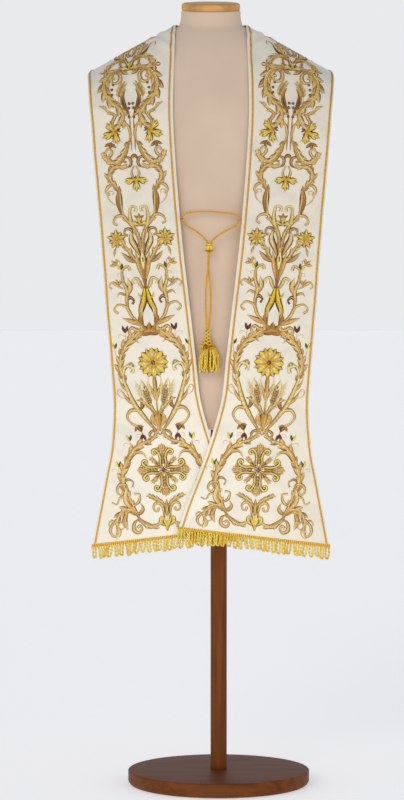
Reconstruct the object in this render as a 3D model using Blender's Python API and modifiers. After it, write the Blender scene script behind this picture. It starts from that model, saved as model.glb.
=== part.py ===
"""Clerical stole on a plain dress form, at its real size.

Metres, +Z up, front towards -Y. The origin is under the middle of the object, on the
surface that the stand's base rests on. Left and right are as seen from the front.

The stole is one strip of stiff cloth on each side, joined by a mitred seam at the back of
the neck. Each strip goes over the slanted shoulder ridge and hangs down the front. All of it
is drawn on one surface, measured by "run", the distance along the shoulder ridge from the
neck outwards, and "drop", the distance over the ridge, positive down the front and negative
down the back. The form's torso has the same surface, a little further in.
"""

import math

import bmesh
import bpy
import numpy as np

# Shoulder ridge: where it starts beside the neck, and how it slopes.
RIDGE_X = 0.078
RIDGE_Z = 1.6235
RIDGE_SLOPE = math.radians(28.6)
RIDGE_ROUND = 0.065
CENTRE_ROUND = 0.05

# Depth of the chest and back from the ridge, how it falls off sideways, and how far below
# the ridge the surface hangs straight, near the neck and at the shoulder's end.
CHEST_DEPTH, CHEST_FALL_OFF = 0.132, 3.2
BACK_DEPTH, BACK_FALL_OFF = 0.124, 3.0
CHEST_REACH_NECK, CHEST_REACH_SHOULDER = 0.235, 0.130
BACK_REACH_NECK, BACK_REACH_SHOULDER = 0.200, 0.130
REACH_FROM, REACH_TO = 0.08, 0.25

# Walls and gaps.
CLOTH = 0.002
GAP = 0.0003
SEAM_GAP = 0.0004
LAID_GAP = 0.0007
REST_GAP = 0.0018
OVERLAP_FORWARD = 0.0032
OVERLAP_BACKWARD = 0.0022
OVERLAP_STARTS_Z, OVERLAP_FULL_Z = 1.00, 0.82

# Edge braid, fringe heading and fringe.
BRAID_WIDTH, BRAID_THICK = 0.004, 0.0008
BRAID_INSET_INNER, BRAID_INSET_OUTER = 0.0080, 0.0050
BRAID_STARTS = 0.0076
HEADING_HEIGHT, HEADING_THICK = 0.0065, 0.0011
FRINGE_LENGTH, FRINGE_THICK = 0.027, 0.004
FRINGE_SET_BACK, FRINGE_HANGS_BELOW = 0.0010, 0.0007

# Cord, the eyes it passes through, slide knot and tassel.
CORD_DIAMETER = 0.004
EYE_RING, EYE_WIRE = 0.0030, 0.00045
KNOT_AT = (-0.0037, -0.1362, 1.1555)
KNOT_HALF_HEIGHT, KNOT_HOLE, KNOT_RADIUS = 0.0083, 0.0060, 0.0092
KNOT_FLATNESS = 0.86
TASSEL_AT = (-0.0075, -0.1360)
SKIRT_AT = (-0.0046, -0.1360)
HEAD_FLATNESS, RUFF_FLATNESS, SKIRT_FLATNESS = 0.85, 0.72, 0.64

# Dress form.
NECK_TILT = math.radians(7.4)
NECK_TOP_Z = 1.6592
CAP_RADIUS, CAP_HEIGHT = 0.0625, 0.0145
CAP_TOP_EDGE, CAP_LOW_EDGE, CAP_FLATNESS = 0.004, 0.001, 0.98
POST_X, POST_RADIUS = 0.017, 0.0175
TORSO_BOTTOM_Z = 0.768
BASE_RADIUS, BASE_HEIGHT = 0.195, 0.031
BASE_TOP_EDGE, BASE_LOW_EDGE = 0.0025, 0.010

PATTERN_COLUMNS = ("run_inner", "drop_inner", "run_outer", "drop_outer")
PATTERN = (
    # From the hem up the front, over the ridge (drop 0), to the centre back seam.
    (0.3785, 1.0650, 0.6795, 0.9485),
    (0.3680, 1.0050, 0.6280, 0.8850),
    (0.3605, 0.9450, 0.5860, 0.8330),
    (0.3520, 0.8880, 0.5505, 0.7900),
    (0.3425, 0.8400, 0.5255, 0.7530),
    (0.3290, 0.7850, 0.4985, 0.7080),
    (0.2950, 0.7000, 0.4600, 0.6250),
    (0.2490, 0.5850, 0.4090, 0.5100),
    (0.2090, 0.4850, 0.3640, 0.4100),
    (0.1690, 0.3910, 0.3225, 0.3150),
    (0.1285, 0.3000, 0.2830, 0.2220),
    (0.0895, 0.2170, 0.2480, 0.1385),
    (0.0515, 0.1450, 0.2195, 0.0600),
    (0.0205, 0.0850, 0.2035, 0.0000),
    (0.0010, 0.0350, 0.1720, -0.0700),
    (-0.0060, 0.0000, 0.1400, -0.1300),
    (-0.0148, -0.0400, 0.1075, -0.1900),
    (-0.0310, -0.0800, 0.0770, -0.2500),
)
SEAM_DROP_INNER, SEAM_DROP_OUTER = -0.118, -0.307

TORSO_COLUMNS = ("z", "half_width", "front", "back", "squareness")
TORSO = (
    # front and back scale the depth of the shared surface.
    (TORSO_BOTTOM_Z, 0.128, 0.60, 0.66, 2.4),
    (0.7705, 0.146, 0.70, 0.77, 2.4),
    (0.779, 0.160, 0.79, 0.86, 2.4),
    (0.800, 0.168, 0.84, 0.92, 2.4),
    (0.860, 0.174, 0.87, 0.97, 2.4),
    (0.930, 0.175, 0.88, 0.98, 2.4),
    (1.010, 0.168, 0.87, 0.93, 2.4),
    (1.110, 0.157, 0.87, 0.86, 2.4),
    (1.200, 0.160, 0.90, 0.88, 2.5),
    (1.290, 0.172, 0.97, 0.95, 2.7),
    (1.360, 0.187, 1.00, 1.00, 3.0),
    (1.410, 0.203, 1.00, 1.00, 3.4),
    (1.450, 0.215, 1.00, 1.00, 3.8),
    (1.480, 0.222, 1.00, 1.00, 4.0),
    (1.505, 0.226, 1.00, 1.00, 4.0),
    (1.545, 0.228, 1.00, 1.00, 4.0),
    (1.660, 0.228, 1.00, 1.00, 4.0),
)

NECK_COLUMNS = ("z", "half_width", "half_depth", "tilt_share")
NECK = (
    (1.6230, 0.0700, 0.0600, 0.0),
    (1.6290, 0.0665, 0.0600, 0.1),
    (1.6370, 0.0645, 0.0600, 0.35),
    (1.6470, 0.0632, 0.0602, 0.7),
    (NECK_TOP_Z, 0.0625, 0.0605, 1.0),
)

# The cord's route in millimetres: x, y, z. From the tassel up one strand, through the slide
# knot, round through the left eye, across, through the right eye and down again.
CORD_ROUTE = (
    (-9.7, -136.0, 982.1),
    (-9.9, -136.0, 1000.0),
    (-10.8, -136.0, 1020.0),
    (-11.3, -136.0, 1044.0),
    (-10.9, -136.2, 1068.0),
    (-9.2, -137.0, 1088.0),
    (-7.1, -138.0, 1106.0),
    (-6.4, -138.2, 1128.0),
    (-6.0, -137.8, 1146.0),
    (-6.3, -136.9, 1156.0),
    (-7.6, -136.2, 1166.0),
    (-26.5, -134.8, 1185.6),
    (-44.0, -134.0, 1196.4),
    (-54.6, -133.3, 1203.2),
    (-59.4, -132.8, 1208.8),
    (-60.8, -132.3, 1215.2),
    (-58.9, -132.6, 1221.4),
    (-53.0, -132.9, 1225.4),
    (-43.0, -133.4, 1228.2),
    (-24.0, -134.1, 1230.0),
    (-3.0, -134.5, 1230.0),
    (19.0, -134.3, 1228.4),
    (40.0, -133.5, 1226.0),
    (52.2, -132.9, 1223.4),
    (58.3, -132.6, 1219.6),
    (60.5, -132.3, 1213.4),
    (58.9, -132.8, 1207.0),
    (54.0, -133.2, 1201.9),
    (41.5, -133.9, 1194.8),
    (21.0, -134.9, 1183.7),
    (0.5, -136.2, 1166.0),
    (-1.1, -135.6, 1156.0),
    (-2.6, -134.6, 1146.0),
    (-4.9, -133.9, 1128.0),
    (-4.8, -134.1, 1106.0),
    (-3.2, -135.0, 1088.0),
    (-1.4, -135.5, 1066.0),
    (-0.9, -136.0, 1038.0),
    (-2.2, -136.0, 1012.0),
    (-4.4, -136.0, 998.0),
    (-5.3, -136.0, 982.1),
)
CORD_POINTS = 80

# Outlines of the turned pieces, as radius and height from the top down the outside.
TASSEL_HEAD = (
    (0.0, 0.9815),
    (0.0045, 0.9812),
    (0.0060, 0.9775),
    (0.0058, 0.9710),
    (0.0061, 0.9640),
    (0.0068, 0.9580),
    (0.0086, 0.9530),
    (0.0092, 0.9500),
    (0.0, 0.9500),
)
TASSEL_RUFF = (
    (0.0, 0.9495),
    (0.0110, 0.9495),
    (0.0160, 0.9470),
    (0.0168, 0.9440),
    (0.0140, 0.9412),
    (0.0, 0.9412),
)
TASSEL_SKIRT = (
    (0.0, 0.9407),
    (0.0130, 0.9407),
    (0.0175, 0.9365),
    (0.0205, 0.9270),
    (0.0214, 0.9100),
    (0.0214, 0.8945),
    (0.0200, 0.8920),
    (0.0, 0.8920),
)

# Levels of the torso's sections, and the number of sides that each section has.
TORSO_LEVELS = np.concatenate(
    [
        [TORSO_BOTTOM_Z, 0.7705, 0.779, 0.80, 0.86, 0.93, 1.01, 1.09, 1.17, 1.25],
        np.linspace(1.31, 1.49, 7),
        np.linspace(1.508, 1.6185, 11),
    ]
)
TORSO_SIDES = 36

COLOURS = {
    # name: (red, green, blue, roughness, metallic), linear
    "ivory_satin": (0.80, 0.74, 0.64, 0.45, 0.0),
    "gold_braid": (0.62, 0.34, 0.05, 0.40, 0.3),
    "gold_fringe": (0.72, 0.46, 0.06, 0.45, 0.2),
    "gold_cord": (0.66, 0.36, 0.04, 0.45, 0.2),
    "form_jersey": (0.70, 0.53, 0.38, 0.85, 0.0),
    "honey_wood": (0.55, 0.33, 0.13, 0.45, 0.0),
    "brown_wood": (0.22, 0.09, 0.03, 0.40, 0.0),
}


def column_table(names, rows):
    """The rows as one array for each named column."""
    return dict(zip(names, np.array(rows, float).T))


def smooth_through(knots, values, at):
    """Cubic curve through (knots, values), with the slope at each knot from its neighbours."""
    knots, values, at = (np.asarray(each, float) for each in (knots, values, at))
    slopes = np.gradient(values, knots)
    index = np.clip(np.searchsorted(knots, at, side="right") - 1, 0, len(knots) - 2)
    width = knots[index + 1] - knots[index]
    u = (at - knots[index]) / width
    start = values[index] * (1 + 2 * u) * (1 - u) ** 2 + slopes[index] * width * u * (1 - u) ** 2
    end = values[index + 1] * u**2 * (3 - 2 * u) - slopes[index + 1] * width * u**2 * (1 - u)
    return start + end


def smooth_step(value, low, high):
    """0 below low, 1 above high, turning smoothly between; low may be the larger one."""
    u = np.clip((value - low) / (high - low), 0, 1)
    return u * u * (3 - 2 * u)


def fullness(across, below, front):
    """How far forward (or back) the surface lies at this distance across and below the ridge.

    A quarter ellipse from the ridge down to where the surface hangs straight.
    """
    depth = np.where(
        front,
        CHEST_DEPTH * (1 - CHEST_FALL_OFF * across**2),
        BACK_DEPTH * (1 - BACK_FALL_OFF * across**2),
    )
    share = smooth_step(across, REACH_FROM, REACH_TO)
    reach = np.where(
        front,
        CHEST_REACH_NECK + (CHEST_REACH_SHOULDER - CHEST_REACH_NECK) * share,
        BACK_REACH_NECK + (BACK_REACH_SHOULDER - BACK_REACH_NECK) * share,
    )
    u = np.clip(1 - below / reach, 0, 1)
    return depth, np.sqrt(np.clip(1 - u * u, 0, None))


def rounded_below(across, below):
    """The depth below the ridge, with the two sides' ridges rounded into each other."""
    inside = np.clip(CENTRE_ROUND - np.abs(across), 0, None)
    return below - math.sin(RIDGE_SLOPE) * inside**2 / (2 * CENTRE_ROUND)


def garment_surface(run, drop):
    """Points of the underside of the cloth on the +X side, from run and drop."""
    below = np.hypot(drop, RIDGE_ROUND) - RIDGE_ROUND
    x = RIDGE_X + run * math.cos(RIDGE_SLOPE) - below * math.sin(RIDGE_SLOPE)
    z = RIDGE_Z - run * math.sin(RIDGE_SLOPE) - below * math.cos(RIDGE_SLOPE)
    depth, share = fullness(np.abs(x), rounded_below(x, below), drop > 0)
    return np.stack([x, -np.sign(drop) * depth * share, z], axis=-1)


def run_at_centre(drop):
    """The run at which the surface reaches the centre back seam."""
    below = math.hypot(drop, RIDGE_ROUND) - RIDGE_ROUND
    return (SEAM_GAP / 2 - RIDGE_X + below * math.sin(RIDGE_SLOPE)) / math.cos(RIDGE_SLOPE)


SEAM_ROW = (
    run_at_centre(SEAM_DROP_INNER),
    SEAM_DROP_INNER,
    run_at_centre(SEAM_DROP_OUTER),
    SEAM_DROP_OUTER,
)
STRIP = column_table(PATTERN_COLUMNS, PATTERN + (SEAM_ROW,))
STRIP_MIDDLE = np.stack(
    [
        (STRIP["run_inner"] + STRIP["run_outer"]) / 2,
        (STRIP["drop_inner"] + STRIP["drop_outer"]) / 2,
    ],
    axis=-1,
)
STRIP_ALONG = np.concatenate(
    [[0.0], np.cumsum(np.linalg.norm(np.diff(STRIP_MIDDLE, axis=0), axis=1))]
)
STRIP_LENGTH = float(STRIP_ALONG[-1])


def strip_row(along):
    """Run and drop of the inner and the outer edge, this far up the strip from the hem."""
    return {name: smooth_through(STRIP_ALONG, STRIP[name], along) for name in PATTERN_COLUMNS}


def strip_width(along):
    row = strip_row(along)
    return np.hypot(
        row["run_outer"] - row["run_inner"], row["drop_outer"] - row["drop_inner"]
    )


def strip_point(side, along, across, lift):
    """Points of one strip: across is 0 at the inner edge and 1 at the outer one, side is 1
    for the right strip and -1 for the left, and lift is the distance out from the underside.
    Where the strips cross, the right one passes in front.
    """
    row = strip_row(along)

    def place(share, shift_run=0.0, shift_drop=0.0):
        run = row["run_inner"] + (row["run_outer"] - row["run_inner"]) * share + shift_run
        drop = row["drop_inner"] + (row["drop_outer"] - row["drop_inner"]) * share + shift_drop
        return garment_surface(run, drop)

    step = 0.0005
    point = place(across)
    by_run = place(across, shift_run=step) - place(across, shift_run=-step)
    by_drop = place(across, shift_drop=step) - place(across, shift_drop=-step)
    normal = np.cross(by_drop, by_run)
    normal /= np.linalg.norm(normal, axis=-1, keepdims=True)
    point = point + normal * np.asarray(lift)[..., None]
    crossing = smooth_step(point[..., 2], OVERLAP_STARTS_Z, OVERLAP_FULL_Z)
    crossing = crossing * (1 - 0.8 * smooth_step(across, 0.5, 1.0))
    in_front = drop_is_front(row, across)
    point[..., 1] += np.where(in_front, crossing, 0) * (
        -OVERLAP_FORWARD if side > 0 else OVERLAP_BACKWARD
    )
    point[..., 0] *= side
    return point


def drop_is_front(row, across):
    return row["drop_inner"] + (row["drop_outer"] - row["drop_inner"]) * across > 0


def stations():
    """Distances up the strip of the mesh's rows: wide apart on the hanging front, close
    together where the cloth turns over the shoulder."""
    hanging = np.linspace(0.0, 0.80, 15)
    shoulder = np.linspace(0.80, STRIP_LENGTH, 31)
    return np.concatenate([hanging, shoulder[1:]])


STATIONS = stations()
PANEL_COLUMNS = 8


def make_material(name):
    red, green, blue, roughness, metallic = COLOURS[name]
    material = bpy.data.materials.new(name)
    material.use_nodes = True
    shader = material.node_tree.nodes["Principled BSDF"]
    shader.inputs["Base Color"].default_value = (red, green, blue, 1.0)
    shader.inputs["Roughness"].default_value = roughness
    shader.inputs["Metallic"].default_value = metallic
    material.diffuse_color = (red, green, blue, 1.0)
    return material


def add_object(name, data, material, parts):
    piece = bpy.data.objects.new(name, data)
    data.materials.append(material)
    parts.objects.link(piece)
    return piece


def adopt_primitive(name, material, parts):
    """Names the primitive just added and moves it to the parts' collection."""
    piece = bpy.context.active_object
    piece.name = name
    piece.data.name = name
    piece.data.materials.append(material)
    for collection in list(piece.users_collection):
        collection.objects.unlink(piece)
    parts.objects.link(piece)
    return piece


def add_wall(piece, thickness, offset=1.0):
    """Gives an open surface its thickness, outwards with offset 1."""
    wall = piece.modifiers.new("wall", "SOLIDIFY")
    wall.thickness = thickness
    wall.offset = offset


def bent_grid(name, columns, rows, place, material, parts):
    """A grid primitive bent to place(u, v), whose arguments run from 0 to 1."""
    bm = bmesh.new()
    bmesh.ops.create_grid(bm, x_segments=columns, y_segments=rows, size=1.0)
    mesh = bpy.data.meshes.new(name)
    bm.to_mesh(mesh)
    bm.free()
    flat = np.empty(len(mesh.vertices) * 3)
    mesh.vertices.foreach_get("co", flat)
    u, v = (flat.reshape(-1, 3)[:, :2].T + 1) / 2
    mesh.vertices.foreach_set("co", place(u, v).ravel())
    mesh.update()
    mesh.shade_smooth()
    return add_object(name, mesh, material, parts)


def cloth_piece(name, side, at, across_from, across_to, columns, lift, thickness, material, parts):
    """A piece of the strip between the stations at, and between two functions of the distance
    along that give the shares across. Its face points away from the form on either side."""

    def place(u, v):
        along = np.interp(v, np.linspace(0, 1, len(at)), at)
        share = u if side > 0 else 1 - u
        start, end = across_from(along), across_to(along)
        return strip_point(side, along, start + (end - start) * share, lift)

    piece = bent_grid(name, columns, len(at) - 1, place, material, parts)
    add_wall(piece, thickness)
    return piece


def fixed(share):
    return lambda along: np.full_like(along, share)


def inset(distance, from_outer=False):
    """The share across of a line at this distance from the inner or the outer edge."""
    if from_outer:
        return lambda along: 1 - distance / strip_width(along)
    return lambda along: distance / strip_width(along)


def make_panel(side_name, side, materials, parts):
    cloth_piece(
        f"stole_panel_{side_name}",
        side,
        STATIONS,
        fixed(0.0),
        fixed(1.0),
        PANEL_COLUMNS,
        0.0,
        CLOTH,
        materials["ivory_satin"],
        parts,
    )


def make_edge_braids(side_name, side, materials, parts):
    """A narrow braid beside each edge, from the fringe's heading to the centre back seam."""
    at = np.concatenate([[BRAID_STARTS], STATIONS[1:-1], [STRIP_LENGTH - SEAM_GAP / 2]])
    half = BRAID_WIDTH / 2
    lines = {
        "inner": (inset(BRAID_INSET_INNER - half), inset(BRAID_INSET_INNER + half)),
        "outer": (
            inset(BRAID_INSET_OUTER + half, from_outer=True),
            inset(BRAID_INSET_OUTER - half, from_outer=True),
        ),
    }
    for edge, (start_line, end_line) in lines.items():
        cloth_piece(
            f"edge_braid_{edge}_{side_name}",
            side,
            at,
            start_line,
            end_line,
            1,
            CLOTH + LAID_GAP,
            BRAID_THICK,
            materials["gold_braid"],
            parts,
        )


def make_fringe(side_name, side, materials, parts):
    """The heading is a braid on the hem; the fringe is a plain wall that hangs under it."""
    cloth_piece(
        f"fringe_heading_{side_name}",
        side,
        np.array([0.0, HEADING_HEIGHT]),
        fixed(0.0),
        fixed(1.0),
        PANEL_COLUMNS,
        CLOTH + GAP,
        HEADING_THICK,
        materials["gold_braid"],
        parts,
    )

    def place(u, v):
        share = u if side > 0 else 1 - u
        point = strip_point(side, np.zeros_like(u), share, -FRINGE_SET_BACK)
        point[:, 2] -= FRINGE_HANGS_BELOW + FRINGE_LENGTH * (1 - v)
        return point

    skirt = bent_grid(
        f"fringe_skirt_{side_name}",
        PANEL_COLUMNS,
        1,
        place,
        materials["gold_fringe"],
        parts,
    )
    add_wall(skirt, FRINGE_THICK)


def cord_path():
    """Points of the cord: a smooth curve through its route, closest together at the eyes."""
    route = np.array(CORD_ROUTE) / 1000
    spacing = np.sqrt(np.linalg.norm(np.diff(route, axis=0), axis=1))
    knots = np.concatenate([[0.0], np.cumsum(spacing)])
    at = np.linspace(0, knots[-1], CORD_POINTS)
    return np.stack([smooth_through(knots, route[:, axis], at) for axis in range(3)], axis=-1)


def make_eye(side_name, side, materials, parts):
    """A small ring beside the strip's inner edge, round the cord where it turns back."""
    path = cord_path()
    turn = path[np.argmax(side * path[:, 0])]
    bpy.ops.mesh.primitive_torus_add(
        major_segments=16,
        minor_segments=6,
        major_radius=EYE_RING,
        minor_radius=EYE_WIRE,
        location=turn.tolist(),
    )
    eye = adopt_primitive(f"cord_eye_{side_name}", materials["gold_cord"], parts)
    eye.data.shade_smooth()


def make_cord(materials, parts):
    curve = bpy.data.curves.new("cord", "CURVE")
    curve.dimensions = "3D"
    curve.bevel_depth = CORD_DIAMETER / 2
    curve.bevel_resolution = 2
    curve.use_fill_caps = True
    spline = curve.splines.new("POLY")
    points = cord_path()
    spline.points.add(len(points) - 1)
    spline.points.foreach_set("co", np.hstack([points, np.ones((len(points), 1))]).ravel())
    add_object("cord", curve, materials["gold_cord"], parts)


def turned(name, profile, scale, at, segments, material, parts):
    """A turned piece: the profile's (radius, height) points, top to bottom down the outside,
    go once round, and the piece is then flattened by scale and put in its place."""
    bm = bmesh.new()
    vertices = [bm.verts.new((radius, 0, height)) for radius, height in profile]
    for start, end in zip(vertices, vertices[1:]):
        bm.edges.new((start, end))
    if profile[0][0] > 0:
        bm.edges.new((vertices[-1], vertices[0]))
    mesh = bpy.data.meshes.new(name)
    bm.to_mesh(mesh)
    bm.free()
    piece = add_object(name, mesh, material, parts)
    screw = piece.modifiers.new("turn", "SCREW")
    screw.axis = "Z"
    screw.steps = segments
    screw.render_steps = segments
    screw.use_merge_vertices = True
    screw.merge_threshold = 0.00001
    screw.use_smooth_shade = True
    piece.scale = scale
    piece.location = at
    return piece


def make_slide_knot(materials, parts):
    """Two turns of cord wrapped round both strands: a ring with two bulges."""
    half, hole, radius = KNOT_HALF_HEIGHT, KNOT_HOLE, KNOT_RADIUS
    profile = [
        (hole, half - 0.0012),
        (hole + 0.0016, half),
        (radius - 0.0010, half - 0.0020),
        (radius - 0.0003, half * 0.52),
        (radius - 0.0010, 0.0012),
        (radius - 0.0002, -half * 0.30),
        (radius - 0.0002, -half * 0.62),
        (radius - 0.0022, -half + 0.0009),
        (hole + 0.0010, -half),
        (hole, -half + 0.0012),
    ]
    scale = (1.0, KNOT_FLATNESS, 1.0)
    turned("slide_knot", profile, scale, KNOT_AT, 20, materials["gold_cord"], parts)


def make_tassel(materials, parts):
    """A bound head, a ruff of small loops below it, and the skirt of thick strands."""
    for name, profile, flatness, at, segments in (
        ("tassel_head", TASSEL_HEAD, HEAD_FLATNESS, TASSEL_AT, 16),
        ("tassel_ruff", TASSEL_RUFF, RUFF_FLATNESS, TASSEL_AT, 18),
        ("tassel_skirt", TASSEL_SKIRT, SKIRT_FLATNESS, SKIRT_AT, 20),
    ):
        scale = (1.0, flatness, 1.0)
        turned(name, profile, scale, (*at, 0.0), segments, materials["gold_fringe"], parts)


def torso_ring(z):
    """One level section of the torso: points at even angles from one side round the front."""
    table = column_table(TORSO_COLUMNS, TORSO)
    width, front, back, square = (
        float(smooth_through(table["z"], table[name], z)) for name in TORSO_COLUMNS[1:]
    )
    ridge_reach = RIDGE_X + (RIDGE_Z - z) / math.tan(RIDGE_SLOPE)
    ridge_reach -= REST_GAP / math.sin(RIDGE_SLOPE)
    reach = min(width, ridge_reach)
    angles = np.linspace(0, 2 * math.pi, TORSO_SIDES, endpoint=False)
    x = -reach * np.cos(angles)
    is_front = np.sin(angles) > 0
    across = np.abs(x)
    below = (RIDGE_Z - z) * math.cos(RIDGE_SLOPE)
    below = below - (across - RIDGE_X) * math.sin(RIDGE_SLOPE) - REST_GAP
    depth, share = fullness(across, rounded_below(across, below), is_front)
    cut = np.clip(1 - (across / width) ** square, 0, None) ** (1 / square)
    y = (depth - REST_GAP) * share * cut * np.where(is_front, front, back)
    y[[0, TORSO_SIDES // 2]] = 0.0
    return np.stack([x, np.where(is_front, -y, y), np.full_like(x, z)], axis=-1)


def neck_ring(level):
    """One section of the neck, tilted forward by its share of the tilt."""
    angles = np.linspace(0, 2 * math.pi, TORSO_SIDES, endpoint=False)
    x = -level["half_width"] * np.cos(angles)
    y = -level["half_depth"] * np.sin(angles)
    z = level["z"] + y * math.tan(NECK_TILT) * level["tilt_share"]
    return np.stack([x, y, z], axis=-1)


def make_torso(materials, parts):
    """The form's body and neck: level sections joined one to the next."""
    rings = [torso_ring(z) for z in TORSO_LEVELS]
    levels = column_table(NECK_COLUMNS, NECK)
    for index in range(len(NECK)):
        rings.append(neck_ring({name: float(values[index]) for name, values in levels.items()}))
    around = TORSO_SIDES
    faces = [tuple(range(around))[::-1]]
    for ring in range(len(rings) - 1):
        first = ring * around
        for step in range(around):
            following = (step + 1) % around
            faces.append(
                (first + step, first + following, first + around + following, first + around + step)
            )
    last = (len(rings) - 1) * around
    faces.append(tuple(range(last, last + around)))
    mesh = bpy.data.meshes.new("form_torso")
    mesh.from_pydata(np.concatenate(rings).tolist(), [], faces)
    mesh.update()
    mesh.shade_smooth()
    mesh.set_sharp_from_angle(angle=math.radians(40))
    add_object("form_torso", mesh, materials["form_jersey"], parts)


def make_cap(materials, parts):
    """The wooden neck cap, turned and then tilted forward with the neck's top."""
    edge = CAP_TOP_EDGE
    profile = [(0.0, CAP_HEIGHT)]
    for turn in np.radians((90, 60, 30, 0)).tolist():
        profile.append(
            (CAP_RADIUS - edge + edge * math.cos(turn), CAP_HEIGHT - edge + edge * math.sin(turn))
        )
    profile += [(CAP_RADIUS, CAP_LOW_EDGE), (CAP_RADIUS - CAP_LOW_EDGE, 0.0), (0.0, 0.0)]
    at = (0.0, 0.0, NECK_TOP_Z + GAP)
    scale = (1.0, CAP_FLATNESS, 1.0)
    cap = turned("neck_cap", profile, scale, at, 32, materials["honey_wood"], parts)
    cap.rotation_euler = (NECK_TILT, 0.0, 0.0)


def make_stand(materials, parts):
    """The post under the torso and the round base."""
    foot, head = BASE_HEIGHT + GAP, TORSO_BOTTOM_Z - GAP
    bpy.ops.mesh.primitive_cylinder_add(
        vertices=24, radius=POST_RADIUS, depth=head - foot, location=(POST_X, 0, (foot + head) / 2)
    )
    adopt_primitive("post", materials["brown_wood"], parts)
    top, low = BASE_TOP_EDGE, BASE_LOW_EDGE
    profile = [(0.0, BASE_HEIGHT)]
    for turn in np.radians((90, 45, 0)).tolist():
        profile.append(
            (BASE_RADIUS - top + top * math.cos(turn), BASE_HEIGHT - top + top * math.sin(turn))
        )
    for turn in np.radians((0, 22.5, 45, 67.5, 90)).tolist():
        profile.append((BASE_RADIUS - low + low * math.cos(turn), low - low * math.sin(turn)))
    profile.append((0.0, 0.0))
    turned("base", profile, (1, 1, 1), (POST_X, 0, 0), 56, materials["brown_wood"], parts)


def main():
    for old in list(bpy.data.objects):
        bpy.data.objects.remove(old, do_unlink=True)
    parts = bpy.data.collections.new("clerical_stole_on_dress_form")
    bpy.context.scene.collection.children.link(parts)
    materials = {name: make_material(name) for name in COLOURS}
    for side_name, side in (("left", -1), ("right", 1)):
        make_panel(side_name, side, materials, parts)
        make_edge_braids(side_name, side, materials, parts)
        make_fringe(side_name, side, materials, parts)
        make_eye(side_name, side, materials, parts)
    make_cord(materials, parts)
    make_slide_knot(materials, parts)
    make_tassel(materials, parts)
    make_torso(materials, parts)
    make_cap(materials, parts)
    make_stand(materials, parts)


main()
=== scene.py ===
"""Looks of a clerical stole on its dress form, laid out as a Blender add-on and run as a script.

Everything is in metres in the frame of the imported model: +Z up, front towards -Y, left and
right as seen from the front. The two strips lie on one surface, measured by "run", the
distance along the shoulder ridge from the neck outwards, and "drop", the distance over the
ridge, positive down the front and negative down the back. What is sewn on a strip is placed
by "along", its distance up the strip from the hem, and "across", 0 at the inner edge and 1 at
the outer one, and then laid on that surface.
"""

import math

import bmesh
import bpy
import numpy as np
from bpy.props import FloatProperty, FloatVectorProperty, PointerProperty
from bpy.types import Operator, Panel, PropertyGroup
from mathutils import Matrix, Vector


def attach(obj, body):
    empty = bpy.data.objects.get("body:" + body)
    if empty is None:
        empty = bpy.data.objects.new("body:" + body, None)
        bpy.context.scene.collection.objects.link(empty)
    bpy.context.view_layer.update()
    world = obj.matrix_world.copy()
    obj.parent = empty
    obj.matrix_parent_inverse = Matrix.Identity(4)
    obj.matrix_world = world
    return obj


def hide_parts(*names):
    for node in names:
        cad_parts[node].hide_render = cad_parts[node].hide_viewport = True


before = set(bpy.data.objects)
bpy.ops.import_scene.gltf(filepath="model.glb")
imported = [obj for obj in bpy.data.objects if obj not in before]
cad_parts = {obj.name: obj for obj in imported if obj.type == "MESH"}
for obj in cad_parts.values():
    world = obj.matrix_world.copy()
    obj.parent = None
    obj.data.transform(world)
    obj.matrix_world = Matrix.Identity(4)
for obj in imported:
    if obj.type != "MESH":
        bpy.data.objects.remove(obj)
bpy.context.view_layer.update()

bl_info = {
    "name": "Clerical Stole",
    "version": (1, 0, 0),
    "blender": (4, 5, 0),
    "location": "3D View > Sidebar > Stole",
    "description": "Builds the cloth, embroidery, trim, cord and dress form of a clerical stole",
    "category": "Object",
}

SIDES = (("left", -1), ("right", 1))

# ---------- the strips' surface

RIDGE_X, RIDGE_Z, RIDGE_ROUND, CENTRE_ROUND = 0.078, 1.6235, 0.065, 0.05
RIDGE_SLOPE = math.radians(28.6)
# Depth in the middle, how much it falls off sideways, and how far below the ridge the surface
# hangs straight, nearer the middle than REACH_FROM and farther out than REACH_TO.
CHEST, BACK = (0.132, 3.2, 0.235, 0.130), (0.124, 3.0, 0.200, 0.130)
REACH_FROM, REACH_TO = 0.08, 0.25
OVERLAP_FORWARD, OVERLAP_BACKWARD = 0.0032, 0.0022
OVERLAP_STARTS_Z, OVERLAP_FULL_Z = 1.00, 0.82
CLOTH, REST_GAP, SEAM_GAP = 0.002, 0.0018, 0.0004
NORMAL_STEP, MERGE_DISTANCE = 0.0005, 0.000005

PATTERN_COLUMNS = ("run_inner", "drop_inner", "run_outer", "drop_outer")
PATTERN = (
    # From the hem up the front, over the ridge (drop 0), to the centre back seam.
    (0.3785, 1.0650, 0.6795, 0.9485), (0.3680, 1.0050, 0.6280, 0.8850),
    (0.3605, 0.9450, 0.5860, 0.8330), (0.3520, 0.8880, 0.5505, 0.7900),
    (0.3425, 0.8400, 0.5255, 0.7530), (0.3290, 0.7850, 0.4985, 0.7080),
    (0.2950, 0.7000, 0.4600, 0.6250), (0.2490, 0.5850, 0.4090, 0.5100),
    (0.2090, 0.4850, 0.3640, 0.4100), (0.1690, 0.3910, 0.3225, 0.3150),
    (0.1285, 0.3000, 0.2830, 0.2220), (0.0895, 0.2170, 0.2480, 0.1385),
    (0.0515, 0.1450, 0.2195, 0.0600), (0.0205, 0.0850, 0.2035, 0.0000),
    (0.0010, 0.0350, 0.1720, -0.0700), (-0.0060, 0.0000, 0.1400, -0.1300),
    (-0.0148, -0.0400, 0.1075, -0.1900), (-0.0310, -0.0800, 0.0770, -0.2500),
)
SEAM_DROPS = (-0.118, -0.307)

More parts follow.
